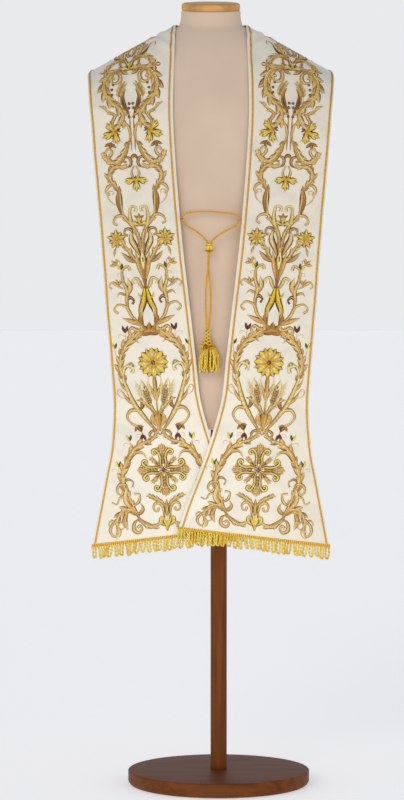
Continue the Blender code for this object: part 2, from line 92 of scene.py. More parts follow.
CREASES = (
    # Shallow folds at the shoulder and the hip: along and across at one end and at the other,
    # then the spread, which is some third of the width, and the height.
    (1.010, 0.02, 1.105, 0.42, 0.0070, -0.0016),
    (1.035, -0.02, 1.115, 0.34, 0.0050, 0.0030),
    (1.075, -0.04, 1.150, 0.30, 0.0055, 0.0028),
    (0.955, 0.95, 1.030, 0.55, 0.0080, -0.0012),
    (0.760, 0.04, 0.700, 0.40, 0.0090, -0.0009),
    (0.420, 0.96, 0.500, 0.70, 0.0080, 0.0009),
    (0.215, 0.05, 0.265, 0.40, 0.0100, -0.0010),
    (0.060, 0.10, 0.150, 0.30, 0.0110, 0.0012),
    (1.180, 0.10, 1.290, 0.50, 0.0090, -0.0012),
)


def smooth_through(knots, values, at):
    """Cubic curve through (knots, values), with the slope at each knot from its neighbours."""
    knots, values, at = (np.asarray(each, float) for each in (knots, values, at))
    slopes = np.gradient(values, knots)
    index = np.clip(np.searchsorted(knots, at, side="right") - 1, 0, len(knots) - 2)
    width = knots[index + 1] - knots[index]
    u = (at - knots[index]) / width
    start = values[index] * (1 + 2 * u) * (1 - u) ** 2 + slopes[index] * width * u * (1 - u) ** 2
    end = values[index + 1] * u**2 * (3 - 2 * u) - slopes[index + 1] * width * u**2 * (1 - u)
    return start + end


def smooth_step(value, low, high):
    """0 below low, 1 above high, turning smoothly between; low may be the larger one."""
    u = np.clip((value - low) / (high - low), 0, 1)
    return u * u * (3 - 2 * u)


def fullness(across, below, front):
    """How deep the surface is where it hangs straight, and the share of that at this distance
    below the ridge: a quarter ellipse from the ridge down."""
    middle, fall_off, near, far = (np.where(front, *pair) for pair in zip(CHEST, BACK))
    reach = near + (far - near) * smooth_step(across, REACH_FROM, REACH_TO)
    u = np.clip(1 - below / reach, 0, 1)
    return middle * (1 - fall_off * across**2), np.sqrt(np.clip(1 - u * u, 0, None))


def rounded_below(across, below):
    """The depth below the ridge, with the two sides' ridges rounded into each other."""
    inside = np.clip(CENTRE_ROUND - np.abs(across), 0, None)
    return below - math.sin(RIDGE_SLOPE) * inside**2 / (2 * CENTRE_ROUND)


def garment_surface(run, drop):
    """Points of the underside of the cloth on the +X side, from run and drop."""
    below = np.hypot(drop, RIDGE_ROUND) - RIDGE_ROUND
    x = RIDGE_X + run * math.cos(RIDGE_SLOPE) - below * math.sin(RIDGE_SLOPE)
    z = RIDGE_Z - run * math.sin(RIDGE_SLOPE) - below * math.cos(RIDGE_SLOPE)
    depth, share = fullness(np.abs(x), rounded_below(x, below), drop > 0)
    return np.stack([x, -np.sign(drop) * depth * share, z], axis=-1)


def run_at_centre(drop):
    """The run at which the surface reaches the centre back seam."""
    below = math.hypot(drop, RIDGE_ROUND) - RIDGE_ROUND
    return (SEAM_GAP / 2 - RIDGE_X + below * math.sin(RIDGE_SLOPE)) / math.cos(RIDGE_SLOPE)


SEAM_ROW = tuple(value for drop in SEAM_DROPS for value in (run_at_centre(drop), drop))
STRIP = dict(zip(PATTERN_COLUMNS, np.array(PATTERN + (SEAM_ROW,), float).T))
# Distances between the pattern's rows along the strip's middle line.
STRIP_STEPS = np.hypot(
    np.diff(STRIP["run_inner"] + STRIP["run_outer"]) / 2,
    np.diff(STRIP["drop_inner"] + STRIP["drop_outer"]) / 2,
)
STRIP_ALONG = np.concatenate([[0.0], np.cumsum(STRIP_STEPS)])
STRIP_LENGTH = float(STRIP_ALONG[-1])


def strip_row(along):
    """Run and drop of the inner and the outer edge, this far up the strip from the hem."""
    return [smooth_through(STRIP_ALONG, STRIP[name], along) for name in PATTERN_COLUMNS]


def strip_width(along):
    """Distance between the two edges, this far up the strip from the hem."""
    run_inner, drop_inner, run_outer, drop_outer = strip_row(along)
    return np.hypot(run_outer - run_inner, drop_outer - drop_inner)


def cloth_relief(side, along, across):
    """Height of the cloth's soft waves and creases above its plain surface: sines some 110 to
    240 mm long, one of them at the hem only, and for each crease a bell-shaped ridge or
    trough along a straight line, fading towards the line's ends."""
    wave = 0.0006 * np.sin(along * 31 + side * 1.3) * np.sin(across * 5.2 + along * 9 + side)
    wave = wave + 0.0005 * np.sin(along * 57 + across * 7.1 + side * 2.2)
    at_hem = smooth_step(along, 0.30, 0.0)
    wave = wave + 0.0011 * at_hem * np.sin(across * 8.3 + side * 0.7 + along * 11)
    width = strip_width(along)
    for along_0, across_0, along_1, across_1, spread, height in CREASES:
        step_along, step_across = along_1 - along_0, (across_1 - across_0) * width
        length = np.hypot(step_along, step_across)
        from_along, from_across = along - along_0, (across - across_0) * width
        u = (from_along * step_along + from_across * step_across) / length**2
        away = (from_along * step_across - from_across * step_along) / length
        fade = smooth_step(u, -0.15, 0.3) * smooth_step(u, 1.15, 0.7)
        wave = wave + height * fade * np.exp(-((away / spread) ** 2))
    return wave


def strip_point(side, along, across, lift, relief=1.0):
    """Points of one strip: the surface at this along and across, moved out by lift, the
    distance from the cloth's underside. side is 1 for the right strip and -1 for the left.
    Where the strips cross, the right one passes in front."""
    along, across, lift = np.broadcast_arrays(
        np.asarray(along, float), np.asarray(across, float), np.asarray(lift, float)
    )
    run_inner, drop_inner, run_outer, drop_outer = strip_row(along)
    run = run_inner + (run_outer - run_inner) * across
    drop = drop_inner + (drop_outer - drop_inner) * across
    step = NORMAL_STEP
    by_run = garment_surface(run + step, drop) - garment_surface(run - step, drop)
    by_drop = garment_surface(run, drop + step) - garment_surface(run, drop - step)
    normal = np.cross(by_drop, by_run)
    normal /= np.linalg.norm(normal, axis=-1, keepdims=True)
    height = lift + relief * cloth_relief(side, along, across)
    point = garment_surface(run, drop) + normal * height[..., None]
    crossing = smooth_step(point[..., 2], OVERLAP_STARTS_Z, OVERLAP_FULL_Z)
    crossing = crossing * (1 - 0.8 * smooth_step(across, 0.5, 1.0))
    shift = -OVERLAP_FORWARD if side > 0 else OVERLAP_BACKWARD
    point[..., 1] += np.where(drop > 0, crossing, 0) * shift
    point[..., 0] *= side
    return point


# ---------- meshes from arrays


def grid_faces(rows, columns, round_columns=False):
    """Corner numbers of the faces of a grid of points that is counted row by row."""
    row = np.arange(rows - 1)[:, None]
    column = np.arange(columns if round_columns else columns - 1)[None, :]
    following = (column + 1) % columns
    corners = [
        row * columns + column,
        row * columns + following,
        (row + 1) * columns + following,
        (row + 1) * columns + column,
    ]
    return np.stack(corners, axis=-1).reshape(-1, 4)


def many_faces(count, size, faces):
    """The same faces for each of count like grids of size points."""
    return (np.arange(count)[:, None, None] * size + faces[None]).reshape(-1, 4)


def with_end_rows(rows):
    """The rows with the first and the last one said twice."""
    return np.concatenate([rows[:1], rows, rows[-1:]])


def closed_ends(rows):
    """The rows of points with one more at each end, drawn together to that end's middle."""
    rows = with_end_rows(rows)
    rows[[0, -1]] = rows[[0, -1]].mean(axis=1, keepdims=True)
    return rows


def make_piece(name, surface, finish_name, replaces=(), colour=None):
    """A smooth mesh object at the origin, with its place in its mesh. surface is its points,
    its four-cornered faces and, if it has one, a uv for each point. colour is one for each
    point or one colour's name. It rides on the body and stands for the solids it replaces."""
    mesh = bpy.data.meshes.new(name)
    points, faces, *uv = surface
    points, faces = np.asarray(points, np.float32).reshape(-1, 3), np.asarray(faces, np.int32)
    mesh.vertices.add(len(points))
    mesh.vertices.foreach_set("co", points.ravel())
    mesh.loops.add(faces.size)
    mesh.loops.foreach_set("vertex_index", faces.ravel())
    mesh.polygons.add(len(faces))
    mesh.polygons.foreach_set("loop_start", np.arange(len(faces), dtype=np.int32) * 4)
    mesh.update(calc_edges=True)
    if uv:
        layer = mesh.uv_layers.new(name="threads")
        places = np.asarray(uv[0], np.float32).reshape(-1, 2)
        layer.data.foreach_set("uv", places[faces.ravel()].ravel())
    if colour is not None:
        attribute = mesh.color_attributes.new("thread_colour", "FLOAT_COLOR", "POINT")
        colour = colour_of(colour) if isinstance(colour, str) else colour
        flat = np.ones((len(points), 4), np.float32)
        flat[:, :3] = np.asarray(colour, np.float32).reshape(-1, 3)
        attribute.data.foreach_set("color", flat.ravel())
    mesh.materials.append(finish(finish_name))
    bm = bmesh.new()
    bm.from_mesh(mesh)
    bmesh.ops.remove_doubles(bm, verts=bm.verts, dist=MERGE_DISTANCE)
    bmesh.ops.recalc_face_normals(bm, faces=bm.faces)
    bm.to_mesh(mesh)
    bm.free()
    mesh.shade_smooth()
    piece = bpy.data.objects.new(name, mesh)
    bpy.context.scene.collection.objects.link(piece)
    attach(piece, "root")
    if replaces:
        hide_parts(*replaces)
    return piece


def directions(path, reference=(0.0, 1.0, 0.0)):
    """Unit directions along paths, whose last axes are the points and x, y, z, and two square
    to them: the first is also square to the reference."""
    ahead = np.gradient(path, axis=-2)
    ahead /= np.linalg.norm(ahead, axis=-1, keepdims=True)
    sideways = np.cross(ahead, np.asarray(reference, float))
    sideways /= np.linalg.norm(sideways, axis=-1, keepdims=True)
    return ahead, sideways, np.cross(sideways, ahead)


def lengths(path):
    """Distance along each path, from its start to each of its points."""
    steps = np.linalg.norm(np.diff(path, axis=-2), axis=-1)
    return np.concatenate([np.zeros((*steps.shape[:-1], 1)), np.cumsum(steps, axis=-1)], axis=-1)


def tubes(paths, radius, sides, reference=(0.0, 1.0, 0.0)):
    """Round tubes along paths that have the same number of points, drawn to a point at both
    ends: each ring lies square to its path, radius times the cosine of the angle one way and
    radius times its sine the other. Gives points, faces and a uv in metres."""
    paths = np.asarray(paths, float)
    paths = paths.reshape(-1, *paths.shape[-2:])
    count, stations = paths.shape[:2]
    _, sideways, up = directions(paths, reference)
    angle = np.linspace(0, 2 * math.pi, sides, endpoint=False)[:, None]
    ring = sideways[..., None, :] * np.cos(angle) + up[..., None, :] * np.sin(angle)
    points = paths[..., None, :] + ring * radius
    ends = np.repeat(paths[:, [0, -1], None, :], sides, axis=2)
    points = np.concatenate([ends[:, :1], points, ends[:, 1:]], axis=1)
    uv = np.empty((*points.shape[:3], 2))
    uv[..., 0] = angle[:, 0] * 0.001
    uv[..., 1] = np.pad(lengths(paths), ((0, 0), (1, 1)), mode="edge")[..., None]
    faces = many_faces(count, (stations + 2) * sides, grid_faces(stations + 2, sides, True))
    return points.reshape(-1, 3), faces, uv.reshape(-1, 2)


def plies(path, count, offset, pitch, start=0.0, reference=(0.0, 1.0, 0.0)):
    """Paths of count strands twisted together: each goes round the given path in a helix,
    offset away from it and once in each pitch of its length. start is its angle there."""
    _, sideways, up = directions(path, reference)
    turn = 2 * math.pi * lengths(path) / pitch + np.asarray(start, float)[..., None]
    turn = turn + 2 * math.pi * np.arange(count).reshape(-1, *(1,) * turn.ndim) / count
    return path + offset * (sideways * np.cos(turn)[..., None] + up * np.sin(turn)[..., None])


def curve_through(points, count, power=1.0):
    """A smooth curve through the points, count points long, whose parameter grows from one to
    the next by their distance to the power."""
    points = np.asarray(points, float)
    steps = np.linalg.norm(np.diff(points, axis=0), axis=1) ** power
    knots = np.concatenate([[0.0], np.cumsum(steps)])
    at = np.linspace(0, knots[-1], count)
    return np.stack([smooth_through(knots, each, at) for each in points.T], axis=-1)


def evenly(path, count):
    """The same path, count points long, with all its points the same distance apart."""
    length = lengths(path)
    at = np.linspace(0, length[-1], count)
    return np.stack([np.interp(at, length, each) for each in path.T], axis=-1)


def turned(profile, sides, flat=1.0, relief=None):
    """Points and faces of a turned piece: the profile's (radius, height) points, from the axis
    at the top down the outside, go once round. relief(angle, height) scales the radius."""
    profile = np.asarray(profile, float)
    angle = np.linspace(0, 2 * math.pi, sides, endpoint=False)
    radius = np.broadcast_to(profile[:, :1], (len(profile), sides))
    height = np.broadcast_to(profile[:, 1:], radius.shape)
    if relief is not None:
        radius = radius * relief(angle, height)
    points = np.stack([radius * np.cos(angle), flat * radius * np.sin(angle), height], axis=-1)
    return points, grid_faces(len(profile), sides, True)


def arc(centre_radius, centre_height, radius, start, end, steps):
    """Points of a round corner of a turned profile; angles in degrees up from straight out."""
    turn = np.radians(np.linspace(start, end, steps))
    return [
        (centre_radius + radius * math.cos(each), centre_height + radius * math.sin(each))
        for each in turn
    ]


# ---------- colours and materials


def linear(hex_colour):
    """Linear red, green, blue of an sRGB hex colour."""
    values = np.array([int(hex_colour[place : place + 2], 16) for place in (1, 3, 5)]) / 255
    values = np.where(values <= 0.04045, values / 12.92, ((values + 0.055) / 1.055) ** 2.4)
    return tuple(float(value) for value in values)


def plug(tree, node, inputs):
    """Gives a node's sockets, by name or number, their values or (node, output) to link."""
    for socket, value in inputs.items():
        if isinstance(value, tuple) and isinstance(value[0], bpy.types.Node):
            tree.links.new(value[0].outputs[value[1]], node.inputs[socket])
        else:
            node.inputs[socket].default_value = value


def add_node(tree, kind, inputs=None, stops=(), **settings):
    """Adds a node. inputs are as in plug, stops are a ramp's places and colours, and settings
    are the node's own properties."""
    node = tree.nodes.new("ShaderNode" + kind)
    for name, value in settings.items():
        setattr(node, name, value)
    plug(tree, node, inputs or {})
    for number, (place, colour) in enumerate(stops):
        elements = node.color_ramp.elements
        element = elements[number] if number < 2 else elements.new(place)
        element.position, element.color = place, (*colour, 1.0)
    return node


def wave_scale(spacing):
    """The Wave texture's scale for bands this far apart: it draws a band each pi / 10 / scale."""
    return math.pi / 10 / spacing


def patches(tree, kind, inputs, colour, factors, places):
    """A texture, and a colour made darker and lighter by two factors, or by one for each
    channel, changing from one to the other between two places of the texture's value."""
    texture = add_node(tree, kind, inputs)
    shades = [np.clip(np.array(colour) * np.array(factor), 0, 1) for factor in factors]
    ramp = add_node(tree, "ValToRGB", {"Fac": (texture, 0)}, zip(places, shades))
    return texture, (ramp, "Color")


def raised(tree, kind, inputs, distance, strength, under=None, **settings):
    """A texture that raises the surface, by up to this distance, over what is under it."""
    texture = add_node(tree, kind, inputs, **settings)
    height = {"Height": (texture, "Fac"), "Distance": distance, "Strength": strength}
    if under:
        height["Normal"] = under
    return add_node(tree, "Bump", height), 0


def fibres(tree, place, scale, darker, places, share):
    """The piece's own thread colours, darkened by this share between its fibres as painted shade, with
    lighter patches between that stand for glints.
    """
    paint = add_node(tree, "VertexColor", layer_name="thread_colour")
    # Painted shade: noise patches darken the threads, and the lighter ones between stand for glints.
    glints = {"Vector": (place, "Object"), "Scale": scale}
    _, shade = patches(tree, "TexNoise", glints, (1.0, 1.0, 1.0), (darker, 1.0), places)
    inputs = {0: share, 6: (paint, "Color"), 7: shade}
    return add_node(tree, "Mix", inputs, data_type="RGBA", blend_type="MULTIPLY"), 2


# Each maker below fills a material's node tree and gives its shader's inputs. place gives
# Object coordinates and the piece's uv, both in metres.


def satin_cloth(tree, place):
    """Woven polyester satin, calendered: ivory, smooth, with a broad soft shine, patches of
    painted blue-grey shade some 40 mm wide, as of soft puckers, and puckers every 20 mm from the
    stitching. Its threads are 0.12 mm apart, too fine to show, so the weave is drawn at 0.8 mm."""
    where = (place, "Object")
    # Painted shade: patches darker and bluer, as the soft shade of puckers, and a little lighter
    # between.
    painted_shade_patches = {"Vector": where, "Scale": 24.0, "Detail": 4.0}
    factors = (0.925, 0.940, 0.960), 1.03
    _, ivory = patches(tree, "TexNoise", painted_shade_patches, colour_of("satin"), factors, (0.32, 0.52))
    puckers = {"Vector": where, "Scale": 48.0, "Detail": 3.0}
    puckered = raised(tree, "TexNoise", puckers, 0.0016, 0.40)
    threads = {"Vector": where, "Scale": wave_scale(0.0008), "Distortion": 1.5}
    way = {"bands_direction": "DIAGONAL"}
    return {
        "Base Color": ivory,
        "Normal": raised(tree, "TexWave", threads, 0.00006, 0.4, puckered, **way),
        "Roughness": 0.40,
        "Sheen Weight": 0.2,
        "Sheen Roughness": 0.4,
    }


def gold_gimp(tree, place, roughness, metallic, spacing, darker=0.60):
    """Metallised thread wound round a core, then braided or twisted: a warm broken shine, each
    piece in its own colours, with fine slanting ribs, this far apart, across its uv, and painted
    shade between its fibres, in patches whose lighter parts stand for glints 2.4 mm wide."""
    scale = wave_scale(spacing) * math.sqrt(2)
    ribs = {"Vector": (place, "UV"), "Scale": scale, "Distortion": 0.4}
    ribbed = raised(tree, "TexWave", ribs, 0.0002, 0.6, bands_direction="DIAGONAL")
    return {
        "Base Color": fibres(tree, place, 420.0, darker, (0.32, 0.62), 1.0),
        "Normal": ribbed,
        "Roughness": roughness,
        "Metallic": metallic,
        "Anisotropic": 0.3,
    }


def satin_stitch(tree, place):
    """Rayon and metallised thread, machine-embroidered in satin stitch: a silky shine, each
    piece in its own colour, with painted shade in patches whose lighter parts stand for glints
    3 mm wide. Stitches are 0.45 mm apart and run across each shape, drawn at 0.9 mm along its
    uv because finer ones would not show."""
    rows = {"Vector": (place, "UV"), "Scale": wave_scale(0.0009), "Distortion": 0.8}
    return {
        "Base Color": fibres(tree, place, 300.0, 0.55, (0.30, 0.66), 0.75),
        "Normal": raised(tree, "TexWave", rows, 0.0003, 0.55, bands_direction="Y"),
        "Roughness": 0.36,
        "Metallic": 0.12,
        "Anisotropic": 0.4,
    }


def knitted_jersey(tree, place):
    """Knitted cotton jersey stretched over a foam form: matt and even, with a fine soft nap
    and patches of wear some 110 mm wide. Its stitches are 0.7 mm apart, drawn as a grain of
    1.1 mm because a finer one would not show."""
    where = (place, "Object")
    wear = {"Vector": where, "Scale": 9.0, "Detail": 3.0}
    _, worn = patches(tree, "TexNoise", wear, colour_of("jersey"), (0.95, 1.04), (0.3, 0.7))
    knit = {"Vector": where, "Scale": 900.0}
    return {
        "Base Color": worn,
        "Normal": raised(tree, "TexNoise", knit, 0.0003, 0.35),
        "Roughness": 0.85,
        "Sheen Weight": 0.2,
    }


def stained_beech(tree, place, colour, roughness, sheen=0.25, stretch=(3.0, 26.0, 26.0)):
    """Turned beech, stained and varnished: long fibres, a satin gloss. Its fibres show as
    streaks 1 to 4 mm wide and some 20 mm long, along the axis with the least stretch."""
    grain = add_node(tree, "Mapping", {"Vector": (place, "Object"), "Scale": stretch})
    settings = {"Vector": (grain, 0), "Scale": 2.2, "Detail": 6.0, "Distortion": 0.5}
    factors, places = (0.72, 1.18), (0.34, 0.62)
    streaks, wood = patches(tree, "TexNoise", settings, colour_of(colour), factors, places)
    height = {"Height": (streaks, "Fac"), "Distance": 0.0004, "Strength": 0.15}
    return {
        "Base Color": wood,
        "Normal": (add_node(tree, "Bump", height), 0),
        "Roughness": roughness,
        "Specular IOR Level": sheen,
    }


def foiled_glass(tree, place):
    """Pressed glass stone with a foiled back: very smooth, deep red, with bright points of light
    from facets 2 mm wide painted into its colour as glints, and painted shade between them."""
    facets = {"Vector": (place, "Object"), "Scale": 500.0}
    # Painted glints: brighter near the facets' middles, darker between.
    _, painted_facet_glints = patches(tree, "TexVoronoi", facets, colour_of("gem"), (1.8, 0.5), (0.1, 0.7))
    return {"Base Color": painted_facet_glints, "Roughness": 0.08, "Coat Weight": 1.0}


def lit_floor(tree, place):
    """Opal acrylic floor panels, sanded and lit a little from below: pale, with no shine and
    with only a haze in patches over a metre wide."""
    haze = {"Vector": (place, "Object"), "Scale": 0.8}
    _, pale = patches(tree, "TexNoise", haze, colour_of("floor"), (0.99, 1.01), (0.3, 0.7))
    return {"Base Color": pale, "Roughness": 0.9, "Emission Strength": 0.395}


# What each finish is made by, and that maker's values.
FINISHES = {
    "woven_satin": (satin_cloth,),
    # The golds have a roughness, a metallic share, a spacing of their ribs and how dark the
    # painted shade between their fibres is. Flat braid is the dullest, and breaks the light up evenly.
    "braided_gold_gimp": (gold_gimp, 0.42, 0.25, 0.0012, 0.66),
    # Bullion is coiled tight over a core, so it glints.
    "gold_bullion_thread": (gold_gimp, 0.24, 0.20, 0.0010, 0.75),
    # Twisted cord has a soft, broken gleam.
    "twisted_gold_cord": (gold_gimp, 0.36, 0.25, 0.0010, 0.74),
    # In the knot it is pulled smooth, so it shines most there.
    "drawn_tight_gold_cord": (gold_gimp, 0.20, 0.30, 0.0010, 0.85),
    # Plain polyester thread is matt; the tassel's core, brown as painted shade, has this finish too.
    "matt_thread_and_core_shade": (gold_gimp, 0.60, 0.05, 0.0008),
    "rayon_satin_stitch": (satin_stitch,),
    "pressed_glass": (foiled_glass,),
    "cotton_jersey": (knitted_jersey,),
    # Clear varnish leaves the cap honey-coloured, with a satin gloss.
    "honey_beech": (stained_beech, "cap_wood", 0.46),
    # Dark stain dulls the stand, whose grain runs across the base and up the post.
    "mahogany_stained_board": (stained_beech, "stand_wood", 0.50, 0.12),
    "mahogany_stained_rod": (stained_beech, "stand_wood", 0.50, 0.12, (40.0, 40.0, 3.0)),
    "sanded_opal_acrylic": (lit_floor,),
}


def colour_of(name):
    """One of the colours set in the sidebar."""
    return getattr(bpy.context.scene.stole_colours, name)


def finish(name):
    """The named material, made the first time that it is asked for."""
    if name not in bpy.data.materials:
        material = bpy.data.materials.new(name)
        material.use_nodes = True
        tree = material.node_tree
        maker, *values = FINISHES[name]
        shader_inputs = maker(tree, add_node(tree, "TexCoord"), *values)
        plug(tree, tree.nodes["Principled BSDF"], shader_inputs)
    return bpy.data.materials[name]


# ---------- sizes and colours


def metres(name, description, default, **limits):
    """A length in metres, which the sidebar shows in the scene's unit."""
    settings = {"name": name, "description": description, "default": default}
    return FloatProperty(unit="LENGTH", **settings, **limits)


class StoleSizes(PropertyGroup):
    """Sizes that change the look without changing the cut."""

    cord_pitch: metres("Cord pitch", "Length of one full turn of the cord's strands", 0.0090, min=0.004)
    fringe_spacing: metres(
        "Fringe spacing", "Distance between the fringe's strands along the hem", 0.0056, min=0.003
    )
    fringe_length: metres(
        "Fringe length", "How far the fringe hangs below its heading", 0.0262, max=0.027
    )
    heading_rib: metres(
        "Heading rib", "Distance between the ribs of the fringe's heading", 0.0042, min=0.001
    )
    plait: metres(
        "Edge braid plait", "Length of one crossing of the edge braid's strands", 0.0034, min=0.002
    )
    stitch_height: metres(
        "Embroidery height", "How far padded satin stitch stands off the cloth", 0.0012, max=0.003
    )
    relief: FloatProperty(
        name="Cloth relief",
        description="How strong the cloth's waves and creases are",
        default=1.0,
        min=0.0,
        max=2.0,
        subtype="FACTOR",
    )


def colour_property(name, description, hex_colour):
    """A colour that is set by its sRGB hex value."""
    settings = {"name": name, "description": description, "default": linear(hex_colour)}
    return FloatVectorProperty(size=3, min=0.0, max=1.0, subtype="COLOR", **settings)


class StoleColours(PropertyGroup):
    """Colours of the cloths, threads, glass and woods."""

    satin: colour_property("Satin", "The stole's cloth", "#E7DDC8")
    braid: colour_property("Braid", "Edge braids and the right cord eye", "#DFA41C")
    # Bullion's colour is also the brightest painted highlight of fringe, tassel and knot.
    fringe: colour_property("Bullion", "Lightest parts of fringe, tassel and knot", "#F6DA58")
    cord: colour_property("Cord", "Cord, and middling parts of the fringe", "#F2B416")
    old_gold: colour_property("Old gold", "Scrolls and leaves", "#C48F38")
    pale_gold: colour_property("Pale gold", "Ends of scrolls and leaves", "#E8C47E")
    # Brown is also painted shade: along scrolls, at outlines, in the tassel's core and the golds'
    # darkest end.
    brown: colour_property("Brown", "Shaded scrolls, beads and strands", "#8C5818")
    lemon: colour_property("Lemon gold", "Flowers, buds and crosses", "#FADA34")
    lemon_dark: colour_property("Shaded lemon gold", "Roots of petals", "#C8961A")
    # Cream is also the painted highlight ribs along scrolls, leaves and stems.
    cream: colour_property("Cream", "Bright ribs of scrolls and leaves", "#FFE7A0")
    # White is also the painted highlight ribs along petals, buds and crosses.
    white: colour_property("White", "Bright ribs of petals and crosses", "#F4F0E0")
    straw: colour_property("Straw", "Ground under the wheat", "#EFDCAE")
    green: colour_property("Dark green", "Small leaflets and calyxes", "#4E5326")
    red: colour_property("Dark red", "Leaflets, plumes and the left cord eye", "#6B2A18")
    gem: colour_property("Stone", "Pressed glass stones", "#6E0A14")
    jersey: colour_property("Jersey", "The form's cover", "#DCC2A8")
    cap_wood: colour_property("Cap wood", "The neck cap", "#D39C58")
    stand_wood: colour_property("Stand wood", "The post and base", "#6E3A14")
    floor: colour_property("Floor", "The studio floor", "#EEE9E0")


def blend(first, second, share):
    """Colours between two, one for each value of an array of shares."""
    first, second = np.array(first), np.array(second)
    return first + (second - first) * np.clip(share, 0, 1)[..., None]


def golds(light_and_tone):
    """Thread colours for tones from 0 to 1, into which painted light and shade are mixed: brown, then
    the cord's gold, then bright gold.
    """
    dark = blend(colour_of("brown"), colour_of("cord"), 2 * light_and_tone)
    return blend(dark, colour_of("fringe"), 2 * light_and_tone - 1)


def on_tubes(light_and_tone, sides):
    """A tone, with its painted light and shade, for each station of some tubes, given to each point of
    their rings and ends.
    """
    light_and_tone = np.pad(light_and_tone, ((0, 0), (1, 1)), mode="edge")[..., None]
    return np.repeat(light_and_tone, sides, axis=2)


# ---------- cord, knot and tassel

CORD_DIAMETER, CORD_STEP = 0.004, 0.0009
# The cord's route in millimetres: x, y, z. From the tassel up one strand, through the slide
# knot, round through the left eye, across, through the right eye and down again. Both ends
# run on inside the tassel's head, where they are bound.
CORD_ROUTE = (
    (-9.6, -136, 960), (-9.7, -136, 982.1), (-9.9, -136, 1000), (-10.8, -136, 1020),
    (-11.3, -136, 1044), (-10.9, -136.2, 1068), (-9.2, -137, 1088), (-7.1, -138, 1106),
    (-6.4, -138.2, 1128), (-6, -137.8, 1146), (-6.3, -136.9, 1156), (-7.6, -136.2, 1166),
    (-26.5, -134.8, 1185.6), (-44, -134, 1196.4), (-54.6, -133.3, 1203.2), (-59.4, -132.8, 1208.8),
    (-60.8, -132.3, 1215.2), (-58.9, -132.6, 1221.4), (-53, -132.9, 1225.4), (-43, -133.4, 1228.2),
    (-24, -134.1, 1230), (-3, -134.5, 1230), (19, -134.3, 1228.4), (40, -133.5, 1226),
    (52.2, -132.9, 1223.4), (58.3, -132.6, 1219.6), (60.5, -132.3, 1213.4), (58.9, -132.8, 1207),
    (54, -133.2, 1201.9), (41.5, -133.9, 1194.8), (21, -134.9, 1183.7), (0.5, -136.2, 1166),
    (-1.1, -135.6, 1156), (-2.6, -134.6, 1146), (-4.9, -133.9, 1128), (-4.8, -134.1, 1106),
    (-3.2, -135, 1088), (-1.4, -135.5, 1066), (-0.9, -136, 1038), (-2.2, -136, 1012),
    (-4.4, -136, 998), (-5.3, -136, 982.1), (-5.4, -136, 960),
)
# Three plies lie round the cord's path, this far from it and this thick.
PLY_OFFSET, PLY_RADIUS = 0.00112, 0.00100
EYE_RADIUS, EYE_OFFSET, EYE_PITCH, EYE_THREAD = 0.0030, 0.00030, 0.0021, 0.00038
UPWARDS = (0, 0, 1)


def cord_path():
    """Points of the cord: a smooth curve through its route."""
    fine = curve_through(np.array(CORD_ROUTE) / 1000, 1400, 0.5)
    return evenly(fine, int(round(lengths(fine)[-1] / CORD_STEP)) + 1)


class STOLE_OT_cord(Operator):
    """The twisted cord: three strands, each a helix round the cord's own path, from the tassel
    up through the slide knot, through both eyes and back"""

    bl_idname = "stole.cord"
    bl_label = "Twisted cord"

    def execute(self, context):
        path = cord_path()
        strands = plies(path, 3, PLY_OFFSET, context.scene.stole_sizes.cord_pitch)
        surface, finish_name = tubes(strands, PLY_RADIUS, 7), "twisted_gold_cord"
        cord = make_piece("twisted_cord", surface, finish_name, ("cord",), "cord")
        return {"FINISHED"}


class STOLE_OT_eyes(Operator):
    """The eyes that the cord passes through: a ring of brown thread on the left strip and one
    of gold wire on the right, each two plies wound round a circle where the cord turns back"""

    bl_idname = "stole.eyes"
    bl_label = "Cord eyes"

    def execute(self, context):
        path = cord_path()
        angle = np.linspace(0, 2 * math.pi, 40)
        ring = np.stack([np.cos(angle), np.sin(angle), 0 * angle], axis=-1) * EYE_RADIUS
        for (side_name, side), finish_name, colour in zip(
            SIDES, ("matt_thread_and_core_shade", "braided_gold_gimp"), ("red", "braid")
        ):
            turn = path[np.argmax(side * path[:, 0])]
            strands = plies(ring + turn, 2, EYE_OFFSET, EYE_PITCH, reference=UPWARDS)
            surface, replaces = tubes(strands, EYE_THREAD, 6, UPWARDS), (f"cord_eye_{side_name}",)
            make_piece(f"eye_{side_name}", surface, finish_name, replaces, colour)
        return {"FINISHED"}


KNOT_AT = np.array((-0.0037, -0.1362, 1.1555))
KNOT_HOLE, KNOT_TOP, KNOT_BOTTOM = 0.0060, 0.0077, -0.0078
KNOT_GROOVE, KNOT_FLATNESS, KNOT_SIDES = 0.0034, 0.88, 120


def bulge(middle, width, height, start, end, steps):
    """Points of a boxy round swelling of the slide knot's profile, from one angle to another:
    out from the hole by the cosine to the power 0.72, and up from its middle by the sine."""
    turn = np.radians(np.linspace(start, end, steps))
    radii = KNOT_HOLE + width * np.cos(turn) ** 0.72
    return list(zip(radii, middle + height * np.sin(turn)))


def knot_parting(angle, spread):
    """From 0 to 1, how near this angle is to the partings at the knot's front and back: a
    bell in its cosine."""
    return np.exp(-((np.cos(angle - 0.16) / spread) ** 2))


def knot_hollows(angle, height):
    """From 0 to 1, the depth of three small hollows above the groove: bells in height, and
    the fourth power of a cosine round the front."""
    around = np.cos((angle + math.pi / 2) * 2.8) ** 4 * (np.sin(angle) < 0.5)
    return around * np.exp(-(((height - 0.0052) / 0.0014) ** 2))


def knot_relief(angle, height):
    """What the knot's radius is scaled by: less in the partings below its groove and in the
    hollows above it."""
    below = smooth_step(height, KNOT_GROOVE, KNOT_GROOVE - 0.003)
    return 1 - 0.28 * below * knot_parting(angle, 0.20) - 0.10 * knot_hollows(angle, height)


